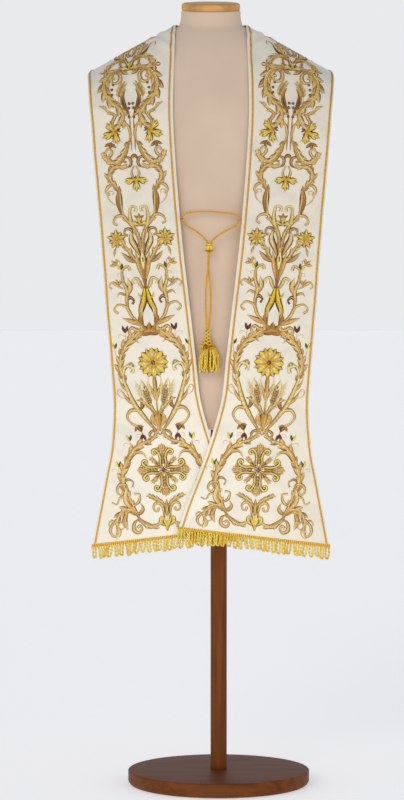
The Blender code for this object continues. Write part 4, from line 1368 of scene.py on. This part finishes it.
    def wheat(self, start, heading, length, grains, bend, awn, colours):
        """An ear of wheat: pairs of plump grains slanting off a stalk, one at its tip, and a
        straight awn from each, this many ears long. An ear with long awns has a pale
        leaf-shaped ground."""
        stalk = swept_path(start, heading, length, bend, LONG)
        if awn > 0.5:
            ground = swept_path(start, heading, length * 1.6, bend)
            self.add(ground, length * 0.27, "petal", "straw", 0.3, -1)
        angle = np.degrees(heading_of(stalk))
        for number in range(grains):
            at = 3 + int(number * (LONG - 6) / grains)
            plump = length * (0.33 - 0.016 * number)
            for side in (1, -1):
                way = angle[at] + side * 54
                grain = swept_path(stalk[at], way, plump, -side * 46)
                self.add(grain, plump * 0.19, "petal", colours, 0.9, 1 + 0.2 * number)
                self.rib(grain[3:], plump * 0.06, "cream", 1 + 0.2 * number, 0.9)
                path = swept_path(grain[-2], way - side * 22, length * awn, -side * 16)
                self.add(path, 1.1, "leaf", ("pale_gold", "cream"), 0.5)
        tip = swept_path(stalk[-2], angle[-1], length * 0.2, 0)
        self.add(tip, length * 0.05, "leaf", colours, 0.9, 3)
        self.add(stalk, 0.9, "even", "old_gold", 0.6)

    def lily(self, centre, size, heading=90.0, mirror=True):
        """A flower from the side: three broad petals fanned about its heading, the outer ones
        bent back, each with a lobe on either side, over a pair of small green ones."""
        for share in (1, -1):
            path = swept_path(centre, heading - share * 96, size * 0.42, -share * 50)
            self.add(path, size * 0.08, "flame", ("green", "lemon_dark"), 0.8, 1, mirror)
        for share in (1, -1, 0):
            reach = size * (1 - 0.10 * abs(share))
            path = swept_path(centre, heading - share * 66, reach, -share * 20, SHORT, 2.0)
            way = math.degrees(heading_of(path)[5])
            for side in (1, -1):
                lobe = swept_path(path[3], way + side * 34, reach * 0.56, -side * 22)
                self.petal(lobe, size * 0.125, LEMON, 2, mirror, "lobe")
            self.petal(path, size * 0.165, LEMON, 2.4, mirror, "lobe")

    def arrays(self, count):
        """The collected shapes of this many points, as one array for each of their facts."""
        return [np.array(each) for each in zip(*self.shapes[count])]


CROSS_ARM = (
    (0.03, 0.03), (0.26, 0.105), (0.50, 0.10), (0.70, 0.17), (0.79, 0.29), (0.72, 0.38),
    (0.62, 0.34), (0.63, 0.25), (0.70, 0.27),
)


def draw_cross(work, centre, reach):
    """A cross in the round of the wreath, drawn as shares of its reach. Each arm is a pair of
    bright strokes that part and curl over outwards, with a plait between them and a stepped
    finial; leafy rays stand between the arms."""
    for quarter in range(4):
        turn = math.radians(90 * quarter)
        spin = np.array(((math.cos(turn), math.sin(turn)), (-math.sin(turn), math.cos(turn))))

        def stitch(points, width, outline, colours, height, layer):
            """Adds a shape to this arm."""
            path = smooth_path(np.asarray(points, float) * reach, SHORT if len(points) < 6 else LONG)
            work.add(centre + path @ spin, width, outline, colours, height, layer, mirror=False)

        for side in (1, -1):
            arm = np.array(CROSS_ARM) * (1, side)
            stitch(arm, 3.5, "even", "brown", 1.0, 2)
            stitch(arm, 2.9, "even", LEMON, 1.3, 3)
            # A white rib along each stroke is a painted highlight.
            stitch(arm, 0.7, "even", "white", 4.2, 3)
            for at in (0.30, 0.42, 0.54, 0.66):
                plait = ((at - 0.07, -side * 0.035), (at, 0.0), (at + 0.07, side * 0.045))
                stitch(plait, 2.2, "leaf", RUSSET, 0.9, 2)
            for at, out in ((0.83, 0.07), (0.83, 0.17), (0.91, 0.08), (0.76, 0.06)):
                stitch(((at - 0.05, side * out), (at + 0.06, side * out)), 3.1, "bead", GOLD, 0.9, 2)
            for at in (0.16, 0.27, 0.37):
                leaf = np.array(((at, at), (at + 0.03, at + 0.09), (at + 0.04, at + 0.19)))
                stitch(leaf * (1, side), 2.9, "flame", GOLD, 0.8, 1)
                stitch(leaf[:, ::-1] * (1, side), 2.9, "flame", GOLD, 0.8, 1)
        stitch(((0.70, 0), (1.03, 0)), 2.9, "bead", GOLD, 1.0, 2)
        stitch(((0.08, 0.08), (0.52, 0.52)), 3.6, "leaf", GOLD, 0.8, 1)
        stitch(((0.12, 0.12), (0.34, 0.34)), 2.2, "leaf", "green", 1.3, 1)
    work.ring(centre, 10.0, 8, 2.0, GOLD, 22.5, 3, mirror=False)


def draw_foot(work):
    """The foot: a small shield, a pair of spirals and of lobed leaves, and the corner spray."""
    work.blade([(0, 17), (0, 50)], 9.0, LEMON, "drop", layer=3, mirror=False)
    work.petal(smooth_path([(2, 28), (9, 32), (14, 42), (12, 50)], SHORT), 4.4)
    for level, width, colour in ((0, 1.2, "brown"), (4, 1.8, "cream"), (9, 1.2, "brown"),
                                 (13, 1.6, "white")):
        work.blade([(0, 23 + level), (6 - level / 4, 32 + level), (9 - level / 3, 42 + level)], width,
                   colour, "even", height=1.6, layer=3)
    work.acanthus([(62, 50), (49, 37), (33, 29), (18, 33), (9, 47)], 5.6, 12, 4, (1,), layer=2)
    work.hook([(8, 44), (7, 60), (12, 74), (22, 77), (28, 69), (25, 60), (18, 61), (18, 67)], 3.8,
              layer=2)
    work.line([(0, 48), (0, 62), (0, 84)], 4.4, layer=2, mirror=False)
    # Cream lines along the stem are painted highlights.
    work.line([(1.8, 50), (1.4, 64), (0.6, 82)], 0.9, "cream", height=2.4, layer=3)
    work.acanthus([(3, 68), (12, 79), (24, 87), (38, 94)], 4.6, 9, 5, layer=2)
    work.acanthus([(60, 50), (72, 63), (89, 66), (102, 54), (108, 38)], 5.0, 15, 5)
    work.hook([(104, 48), (116, 40), (121, 26), (112, 16), (105, 22), (109, 28)], 3.4, layer=2)
    work.blade([(108, 38), (103, 24), (110, 10)], 5.6, CREAMY, "petal", layer=2)
    work.hook([(107, 40), (118, 47), (124, 40), (119, 34)], 2.2)
    work.hook([(104, 46), (94, 40), (92, 31), (98, 28)], 2.0)
    work.blade([(82, 64), (90, 46), (84, 26)], 5.6, layer=1)
    work.blade([(84, 54), (87, 44), (85, 34)], 1.0, "brown", "stem", height=2.4, layer=1)
    work.hook([(60, 47), (70, 38), (70, 24), (60, 19), (54, 27), (59, 33), (64, 28)], 4.6, layer=1)
    work.hook([(74, 78), (84, 93), (98, 90), (105, 78), (115, 82)], 2.8)
    work.blade([(58, 56), (50, 66), (56, 80)], 4.4, GOLD, "flame", layer=1)


def draw_wreath(work):
    """The cross and the wreath of acanthus round it, with sprigs outside."""
    work.acanthus([(60, 50), (72, 74), (80, 104)], 4.6, 12, 3)
    work.blade([(66, 60), (84, 86), (82, 112)], 7.2, CREAMY, layer=2)
    work.blade([(72, 72), (82, 88), (82, 104)], 3.2, RUSSET, "flame", height=1.3, layer=3)
    work.hook([(72, 72), (58, 82), (56, 97), (66, 98)], 3.4, layer=1)
    work.hook([(78, 104), (84, 118), (97, 116), (102, 103), (93, 96), (89, 103)], 3.6, layer=3)
    work.acanthus([(80, 96), (89, 120), (86, 146), (75, 168)], 6.0, 17, 4)
    work.acanthus([(80, 150), (68, 180), (48, 200), (22, 209)], 5.8, 18, 4)
    work.acanthus([(34, 204), (18, 212), (7, 226), (1, 240)], 3.8, 10, 3)
    work.blade([(72, 168), (60, 184), (42, 184), (33, 170)], 5.4, GOLD, "flame", layer=1)
    work.hook([(88, 118), (77, 128), (66, 121), (69, 112)], 2.6, SHADED)
    draw_cross(work, np.array((0.0, 146.0)), 55.0)
    for start, heading, colours in (
        ((62, 190), 74, ("green", "lemon")),
        ((32, 210), 64, ("red", "red")),
        ((93, 134), 80, ("green", "lemon")),
    ):
        work.sprig(start, heading, 20, 15, colours, 10)
    work.hook([(2, 222), (13, 230), (22, 223), (18, 213), (10, 217), (13, 222)], 3.0, SHADED, layer=1)


def draw_oval(work):
    """The calyx where the stems cross, wheat and a daisy in an oval of acanthus."""
    work.blade([(0, 228), (0, 266)], 11, "old_gold", "drop", layer=2, mirror=False)
    work.blade([(6, 240), (12, 254), (10, 268)], 5.4, GOLD, "petal", layer=2)
    for x in (2.5, 8.0):
        work.blade([(x * 0.35, 234), (x, 250), (x * 1.2, 264)], 0.8, "cream", "stem", height=2.4,
                   layer=3)
    work.hook([(0, 220), (22, 250), (44, 284), (58, 320), (65, 350), (56, 370), (43, 364), (46, 355)],
              5.6, CREAMY, layer=2)
    # A brown line along the stem's lower edge is painted shade.
    work.line([(4, 222), (26, 252), (48, 286), (61, 320), (66, 346)], 1.3, "brown", height=1.4, layer=2)
    work.hook([(22, 252), (38, 274), (56, 276), (65, 262), (56, 247), (46, 241)], 4.2, layer=2)
    work.blossom((47, 243), -118, 15)
    work.blade([(44, 288), (60, 300), (72, 322)], 4.6, GOLD, "flame", layer=1)
    work.blade([(56, 316), (70, 332), (76, 348)], 3.8, GOLD, "flame", layer=1)
    work.sprig((38, 232), -104, 8, 17, ("red", "red"), 10, tendril=False)
    work.blade([(36, 274), (30, 286), (34, 300)], 4.6, SHADED, layer=1)
    work.curl((62, 300), 20, 46, 420, 1.3)
    work.line([(0, 264), (0, 304), (0, 350)], 4.6, "old_gold", "rising", layer=2, mirror=False)
    # Cream lines along the stem are painted highlights.
    work.line([(1.6, 268), (1.5, 304), (0.8, 346)], 1.0, "cream", height=2.4, layer=3)
    work.blade([(0, 296), (6, 314), (13, 330)], 4.2, GOLD, "flame", layer=2)
    work.acanthus([(2, 262), (14, 280), (36, 298)], 4.6, 10, 4, layer=2)
    work.wheat((12, 286), 66, 36, 6, 14, 0.75, SHADED)
    work.acanthus([(62, 338), (71, 366), (65, 396)], 6.2, 16, 4, layer=2)
    work.acanthus([(68, 384), (56, 412), (36, 430), (14, 446)], 6.0, 18, 5)
    work.hook([(66, 356), (55, 370), (45, 376), (41, 368)], 3.2, SHADED, layer=1)
    work.ring((0, 374), 33, 8, 6.0, RUSSET, 22.5, 2, mirror=False)
    work.ring((0, 374), 32, 8, 9.0, LEMON, 0, 3, mirror=False)
    work.sprig((52, 420), 84, 20, 17, ("red", "red"), 8)
    work.sprig((76, 392), 80, 16, 14, ("green", "lemon"), 8, tendril=False)


def draw_buds(work):
    """The shell, two crossing buds and the scrolls at their sides."""
    for turn in range(-80, 81, 40):
        petal = swept_path((0, 434), 90 + turn, 26, -turn * 0.3)
        work.add(petal, 6.4, "petal", SHADED, 1.0, 2, mirror=False)
    work.blade([(-13, 440), (0, 443), (13, 440)], 5.0, "old_gold", "bead", layer=3, mirror=False)
    work.blade([(14, 440), (26, 434), (30, 422), (24, 416)], 5.0, GOLD, "flame", layer=1)
    work.hook([(10, 450), (26, 444), (38, 450), (44, 440), (37, 433), (33, 439)], 4.0, layer=1)
    work.blade([(12, 452), (32, 462), (56, 472)], 5.0, layer=1)
    work.hook([(14, 454), (34, 474), (46, 496), (62, 500), (70, 489), (62, 482)], 3.8, layer=1)
    work.hook([(38, 480), (42, 506), (39, 528), (46, 550), (44, 574), (33, 580), (29, 571)], 4.8,
              layer=2)
    work.blade([(42, 516), (32, 534), (36, 556)], 5.4, CREAMY, layer=2)
    work.blade([(44, 520), (56, 524), (62, 516)], 3.0, GOLD, "flame")
    work.hook([(44, 506), (34, 514), (27, 506), (31, 500)], 3.8, PLUME, layer=1)
    work.hook([(46, 532), (58, 540), (68, 548), (76, 540), (71, 534)], 2.8, layer=1)
    work.blossom((56, 540), 72, 15, GOLD)
    work.blade([(12, 452), (17, 466), (14, 482)], 5.6, SHADED, layer=1)
    work.line([(13, 462), (15, 480), (7, 504), (1, 540)], 7.0, "brown", "leaf", layer=2)
    work.line([(13, 464), (15, 481), (7, 504), (1, 538)], 6.0, LEMON, "leaf", layer=3)
    # A white line along the bud is a painted highlight.
    work.line([(11, 472), (12, 484), (6, 502)], 1.3, "white", height=2.4, layer=3)
    work.blade([(4, 510), (14, 516), (17, 524)], 3.0, LEMON, "flame", layer=3)
    work.hook([(2, 526), (10, 540), (17, 554), (26, 548), (24, 541)], 4.4, CREAMY, layer=2)
    work.sprig((42, 556), 62, 16, 17, ("green", "lemon"), 14)
    work.line([(44, 572), (50, 580), (58, 583)], 1.1, "pale_gold")
    work.blossom((57, 583), 48, 15, GOLD)
    work.curl((50, 580), 100, 24, -360, 1.3)


def draw_stars(work):
    """The trunk with a pale stone on it, satin leaves, two stars and a bud in a heart."""
    work.blade([(0, 530), (0, 604)], 9.6, SHADED, "drop", layer=2, mirror=False)
    work.blade([(2, 548), (9, 578), (15, 610)], 5.2, layer=2)
    work.petal(smooth_path([(0, 572), (0, 612)], SHORT), 6.4, "cream", 4, False)
    work.blade([(0, 582), (0, 604)], 2.3, ("green", "brown"), height=1.6, layer=4, mirror=False)
    work.acanthus([(10, 582), (24, 604), (34, 622), (42, 634)], 4.6, 13, 3)
    work.blade([(12, 586), (28, 594), (44, 610)], 5.0, RUSSET, layer=2)
    work.petal(smooth_path([(6, 602), (13, 620), (20, 636), (19, 654)], SHORT), 6.0, CREAMY, 4)
    work.hook([(17, 642), (20, 658), (31, 658), (33, 647), (27, 645)], 3.4, SHADED, layer=4)
    work.ring((51, 638), 19, 5, 4.2, RUSSET, 52, 2)
    work.ring((51, 638), 22, 5, 6.0, LEMON, 16, 3, outline="flame")
    work.blade([(54, 622), (58, 610), (60, 600)], 2.6)
    work.acanthus([(3, 604), (4, 636), (14, 662), (30, 682), (38, 712)], 4.8, 10, 4, (-1,))
    work.line([(36, 686), (39, 716), (36, 752)], 7.0, SHADED, "leaf", layer=2)
    # A cream line along the leaf is a painted highlight.
    work.line([(34, 696), (36, 720), (35, 744)], 1.6, "cream", height=2.4, layer=2)
    work.hook([(20, 672), (36, 688), (50, 684), (54, 672), (47, 668)], 3.8, layer=2)
    work.curl((40, 706), 30, 60, 330, 1.6)
    work.hook([(2, 646), (14, 664), (19, 688), (14, 706), (5, 703), (7, 694)], 4.8, CREAMY, layer=2)
    work.lily((0, 666), 21, mirror=False)
    work.blossom((0, 678), 90, 14)


def draw_canopy(work):
    """A hanging flower under a canopy of scrolls, with boat-shaped acanthus above it."""
    work.lily((0, 766), 29, -90, mirror=False)
    work.blossom((0, 762), 90, 10, ("brown", "red"))
    work.acanthus([(34, 736), (46, 752), (56, 770), (46, 790), (18, 791)], 5.4, 14, layer=2)
    work.hook([(46, 754), (60, 750), (65, 737), (57, 733)], 3.6, layer=1)
    work.hook([(3, 762), (8, 778), (3, 792)], 3.0, layer=1)
    work.hook([(20, 788), (9, 794), (9, 808), (20, 812), (24, 803), (17, 801)], 3.6, SHADED, layer=2)
    work.blade([(-9, 806), (0, 815), (9, 806)], 4.0, SHADED, layer=2, mirror=False)
    work.acanthus([(9, 846), (20, 820), (38, 800), (58, 806), (66, 824)], 7.0, 16, 6, (1,), layer=2)
    work.acanthus([(24, 812), (44, 800), (60, 812)], 5.0, 13, 3, (-1,))
    work.hook([(62, 806), (52, 814), (46, 826), (54, 832), (58, 825)], 3.6, layer=3)
    work.hook([(9, 838), (5, 864), (13, 884), (27, 886), (34, 874)], 3.4, layer=1)
    work.line([(4, 826), (4, 860), (4, 898)], 1.6, "old_gold", "even")
    work.sprig((22, 842), 60, 14, 17, PLUME, -14, tendril=False)
    work.curl((28, 850), 6, 50, 400, 1.3)
    work.line([(30, 852), (42, 850), (48, 842)], 1.1, "pale_gold")
    work.blossom((47, 845), -80, 17)
    work.lily((36, 868), 31, -24)
    work.blossom((33, 870), 150, 10, "brown")


def draw_lyre(work):
    """Two great scrolls of acanthus with wheat, plumes and beads between them, a bright crown
    where they meet, and smaller sprays over the shoulder."""
    work.acanthus([(8, 1012), (26, 1012), (46, 1000), (57, 974), (50, 944), (34, 924)], 7.4, 22,
                  layer=2)
    work.acanthus([(46, 940), (28, 922), (18, 904), (24, 884), (37, 874)], 6.2, 19, 4, layer=2)
    work.hook([(34, 1006), (22, 996), (24, 980), (36, 977), (41, 987), (34, 991)], 5.0, layer=3)
    work.blade([(22, 1010), (10, 1000), (2, 996)], 4.6, RUSSET, layer=3)
    work.acanthus([(38, 872), (42, 888), (36, 902), (52, 916), (62, 926)], 4.2, 10, 3)
    work.line([(4, 896), (7, 912), (14, 932), (15, 946)], 1.6, "old_gold", "even")
    work.line([(14, 908), (24, 926), (27, 944)], 1.2, "pale_gold")
    work.wheat((27, 942), 104, 36, 7, 16, 0.22, GOLD)
    work.blade([(5, 902), (15, 926), (18, 946), (10, 962)], 5.0, SHADED, layer=2)
    work.blade([(9, 912), (17, 930), (17, 948)], 2.4, "red", height=1.5, layer=3)
    for x, y in ((5, 898), (8, 908), (5, 918), (4, 928), (40, 950), (40, 962), (37, 974)):
        work.blade([(x - 3, y), (x + 3, y)], 3.2, "brown", "bead", height=1.3, layer=3)
    work.line([(18, 914), (34, 930), (39, 946)], 1.1, "pale_gold")
    work.lily((0, 1008), 24, mirror=False)
    work.hook([(10, 1010), (5, 1022), (12, 1036), (22, 1031), (19, 1022)], 4.2, SHADED, layer=2)
    work.acanthus([(10, 1030), (24, 1040), (40, 1036), (52, 1020)], 4.6, 13, 5)
    work.ring((54, 1014), 15, 4, 4.2, GOLD, 0, 2)
    work.acanthus([(9, 1034), (24, 1054), (26, 1078), (12, 1098)], 6.0, 18, 5)
    work.acanthus([(3, 1044), (10, 1070), (2, 1092)], 4.6, 12, 4)
    work.line([(14, 1040), (34, 1052), (42, 1070)], 3.4, PLUME, "leaf", layer=1)
    work.hook([(38, 1062), (44, 1080), (56, 1080), (56, 1070)], 2.6, layer=1)
    work.lily((0, 1100), 24, mirror=False)
    work.acanthus([(10, 1100), (30, 1112), (46, 1104)], 4.2, 13, 4)


def draw_panel(work):
    """One strip's embroidery, from the hem up to the shoulder ridge."""
    for draw in (draw_foot, draw_wreath, draw_oval, draw_buds, draw_stars, draw_canopy, draw_lyre):
        draw(work)


def on_strip(flat):
    """Along and across of points drawn flat, in millimetres from the middle of the hem."""
    along = flat[..., 1] / 1000
    return along, 0.5 + flat[..., 0] / 1000 / strip_width(along)


def lay_shapes(side, facts, stitch_height, relief):
    """Closed, domed shapes laid on the strip: the section at each point goes over from edge to
    edge as the root of one less the square of its share, and back underneath. Each shape
    narrows at both ends to one point on the cloth."""
    path, half, root, tip, height, layer, sign = facts
    count, stations = half.shape
    step = np.gradient(path, axis=1)
    step /= np.linalg.norm(step, axis=-1, keepdims=True)
    normal = np.stack([-step[..., 1], step[..., 0]], axis=-1) * sign[:, None, None]
    shares = np.append(COLUMNS, 0.0)
    dome = np.append(np.sqrt(1 - COLUMNS**2), 0.0)
    flat = path[:, :, None] + normal[:, :, None] * half[:, :, None, None] * shares[:, None]
    flat = np.pad(flat, ((0, 0), (1, 1), (0, 0), (0, 0)), mode="edge")
    flat[:, [0, -1]] = flat[:, [0, -1]].mean(axis=2, keepdims=True)
    rise = np.clip(half / PADDED, THINNEST, 1.0)[..., None] * height[:, None, None] * dome
    lift = STAND_OFF + stitch_height * (rise + LAYER_STEP * layer[:, None, None])
    lift[..., -1] = -SINK
    lift = np.pad(lift, ((0, 0), (1, 1), (0, 0)))
    points = strip_point(side, *on_strip(flat), CLOTH + lift, relief)
    u = np.linspace(0, 1, stations + 2)[:, None, None]
    colour = root[:, None, None] * (1 - u) + tip[:, None, None] * u
    # Painted shade on every other station of a long shape.
    band_shade = (stations == LONG) * BAND_SHADE * (-1.0) ** np.arange(stations + 2)
    colour = colour * (1 + band_shade)[:, None, None]
    # Painted light across each shape: a highlight on one side and shade at its edges.
    colour = np.broadcast_to(colour, (*points.shape[:3], 3)) * PAINTED_LIGHT_ACROSS
    length = np.pad(lengths(path), ((0, 0), (1, 1)), mode="edge")[..., None]
    wide = np.pad(half, ((0, 0), (1, 1)), mode="edge")[..., None] * shares
    uv = np.stack(np.broadcast_arrays(wide, length), axis=-1) / 1000
    ring = len(shares)
    faces = many_faces(count, (stations + 2) * ring, grid_faces(stations + 2, ring, True))
    return points, faces, uv, np.clip(colour, 0, 1)


# x, y and radius of the glass stones, in millimetres, then how far their rims and their tops
# stand off the cloth, in metres.
STONES = (0.0, 146.0, 5.0), (0.0, 374.0, 5.2)
STONE_RIM, STONE_RISE = 0.0010, 0.0022
STONE_SIDES, STONE_RINGS = 20, 6


def stone_points(side, x, y, radius, relief):
    """Half a flattened ball on the strip, level by level from the middle of its underside:
    the radius goes as the cosine of the angle up and the height as its sine."""
    turn = np.linspace(0, 2 * math.pi, STONE_SIDES, endpoint=False)
    rise = np.linspace(0, math.pi / 2, STONE_RINGS)[:, None]
    flat = [x + radius * np.cos(rise) * np.cos(turn), y + radius * np.cos(rise) * np.sin(turn)]
    lift = CLOTH + STONE_RIM + STONE_RISE * np.sin(rise)
    dome = strip_point(side, *on_strip(np.stack(flat, axis=-1)), lift, relief)
    under = strip_point(side, y / 1000, 0.5 + 0 * turn[None], CLOTH, relief)
    return np.concatenate([under, dome])


class STOLE_OT_embroidery(Operator):
    """The embroidery: long shapes as one piece and short ones as another on each strip, and
    the glass stones. Each stitched shape is a middle line with a half-width, drawn flat and
    then laid on the cloth with a domed section"""

    bl_idname = "stole.embroidery"
    bl_label = "Embroidery"

    def execute(self, context):
        work = Needlework()
        draw_panel(work)
        sizes = context.scene.stole_sizes
        stone_faces = grid_faces(STONE_RINGS + 1, STONE_SIDES, True)
        stone_faces = many_faces(len(STONES), (STONE_RINGS + 1) * STONE_SIDES, stone_faces)
        for side_name, side in SIDES:
            for count, kind in ((LONG, "scrolls"), (SHORT, "leaves")):
                facts, name = work.arrays(count), f"embroidery_{kind}_{side_name}"
                *surface, colour = lay_shapes(side, facts, sizes.stitch_height, sizes.relief)
                make_piece(name, surface, "rayon_satin_stitch", (), colour)
            stones = np.array([stone_points(side, *stone, sizes.relief) for stone in STONES])
            surface = stones, stone_faces
            make_piece(f"stones_{side_name}", surface, "pressed_glass")
        return {"FINISHED"}


# ---------- camera and stage

CAMERA_AT, CAMERA_PITCH, SENSOR_WIDTH = (-0.0189, -6.9, 1.2), math.radians(86.91), 36
# The lens is 3223.8 pixels long for a picture 800 pixels high.
FOCAL_LENGTH = SENSOR_WIDTH * 3223.8 / 800
LIGHTS = (
    # Name, kind, where it stands or comes from, strength, angle it fills or comes from.
    ("key", "SUN", (-0.40, -1.0, 0.52), 0.57, math.radians(24)),
    ("fill", "SUN", (0.75, -1.0, 0.05), 0.22, math.radians(40)),
    ("low", "SPOT", (-0.30, -3.5, 0.35), 92.0, math.radians(26)),
)
LIT_POINT = Vector((0.0, 0.0, 0.56))
FLOOR_REACH, FLOOR_POINTS, FLOOR_DROP = 30, 7, 0.0002
# The surround's colour, pale at eye level and dimmer overhead.
SURROUND = ((0.12, "#E9EAEC"), (0.75, "#929CB0"))


class STOLE_OT_camera(Operator):
    """The camera, straight in front at chest height and pitched a little down"""

    bl_idname = "stole.camera"
    bl_label = "Camera"

    def execute(self, context):
        camera = bpy.data.objects.new("camera", bpy.data.cameras.new("camera"))
        camera.data.lens, camera.data.sensor_width = FOCAL_LENGTH, SENSOR_WIDTH
        camera.location = CAMERA_AT
        camera.rotation_euler = (CAMERA_PITCH, 0, 0)
        context.scene.collection.objects.link(camera)
        context.scene.camera = camera
        return {"FINISHED"}


class STOLE_OT_stage(Operator):
    """A wide pale floor, a soft key light and a weaker fill from the front, a low lamp whose
    soft-edged beam brightens the hems, and a pale surround that is dimmer overhead"""

    bl_idname = "stole.stage"
    bl_label = "Stage"

    def execute(self, context):
        self.lay_floor(context.scene)
        for light in LIGHTS:
            self.set_light(context.scene, *light)
        world = bpy.data.worlds.new("studio")
        world.use_nodes = True
        tree = world.node_tree
        way = add_node(tree, "TexCoord")
        upwards = add_node(tree, "SeparateXYZ", {0: (way, "Generated")})
        stops = [(height, linear(colour)) for height, colour in SURROUND]
        sky = add_node(tree, "ValToRGB", {"Fac": (upwards, "Z")}, stops)
        plug(tree, tree.nodes["Background"], {"Color": (sky, "Color")})
        context.scene.world = world
        # Colours are shown as they are, with no film curve over them.
        context.scene.view_settings.view_transform = "Standard"
        return {"FINISHED"}

    def lay_floor(self, scene):
        """A level sheet just under the base, as a grid of square panels."""
        steps = np.linspace(-FLOOR_REACH, FLOOR_REACH, FLOOR_POINTS)
        x, y = np.meshgrid(steps, steps)
        points = np.stack([x, y, 0 * x - FLOOR_DROP], axis=-1).reshape(-1, 3)
        mesh = bpy.data.meshes.new("floor")
        mesh.from_pydata(points.tolist(), [], grid_faces(FLOOR_POINTS, FLOOR_POINTS).tolist())
        mesh.materials.append(finish("sanded_opal_acrylic"))
        floor = bpy.data.objects.new("floor", mesh)
        scene.collection.objects.link(floor)

    def set_light(self, scene, name, kind, source, strength, width):
        """A lamp that the camera doesn't see: a distant one, or one aimed at the hems."""
        light = bpy.data.lights.new(name, kind)
        light.energy = strength
        way = Vector(source)
        if kind == "SUN":
            light.angle = width
        else:
            light.spot_size, light.spot_blend, light.shadow_soft_size = width, 1.0, 0.30
            way = way - LIT_POINT
        lamp = bpy.data.objects.new(name, light)
        lamp.location, lamp.visible_camera = source, False
        lamp.rotation_euler = way.to_track_quat("Z", "Y").to_euler()
        scene.collection.objects.link(lamp)


# ---------- the add-on

# In this order, because the cord and the cloth name pieces that go with them.
OPERATORS = (
    STOLE_OT_camera,
    STOLE_OT_slide_knot,
    STOLE_OT_tassel,
    STOLE_OT_cord,
    STOLE_OT_eyes,
    STOLE_OT_dress_form,
    STOLE_OT_stand,
    STOLE_OT_edge_braids,
    STOLE_OT_fringe,
    STOLE_OT_embroidery,
    STOLE_OT_cloth,
    STOLE_OT_stage,
)


class STOLE_PT_sidebar(Panel):
    """Lists the steps that build the stole, its sizes and its colours"""

    bl_idname = "STOLE_PT_sidebar"
    bl_label = "Clerical Stole"
    bl_space_type = "VIEW_3D"
    bl_region_type = "UI"
    bl_category = "Stole"

    def draw(self, context):
        for operator in OPERATORS:
            self.layout.operator(operator.bl_idname)
        for settings in (context.scene.stole_sizes, context.scene.stole_colours):
            column = self.layout.column()
            for name in settings.__annotations__:
                column.prop(settings, name)


CLASSES = (StoleSizes, StoleColours, *OPERATORS, STOLE_PT_sidebar)


def register():
    """Makes the settings, the steps and the panel known to Blender."""
    for each in CLASSES:
        bpy.utils.register_class(each)
    bpy.types.Scene.stole_sizes = PointerProperty(type=StoleSizes)
    bpy.types.Scene.stole_colours = PointerProperty(type=StoleColours)


def unregister():
    """Takes them all away again."""
    del bpy.types.Scene.stole_colours
    del bpy.types.Scene.stole_sizes
    for each in reversed(CLASSES):
        bpy.utils.unregister_class(each)


def main():
    """Builds everything, one step after another."""
    register()
    for operator in OPERATORS:
        group, name = operator.bl_idname.split(".")
        getattr(getattr(bpy.ops, group), name)()


if __name__ == "__main__":
    main()
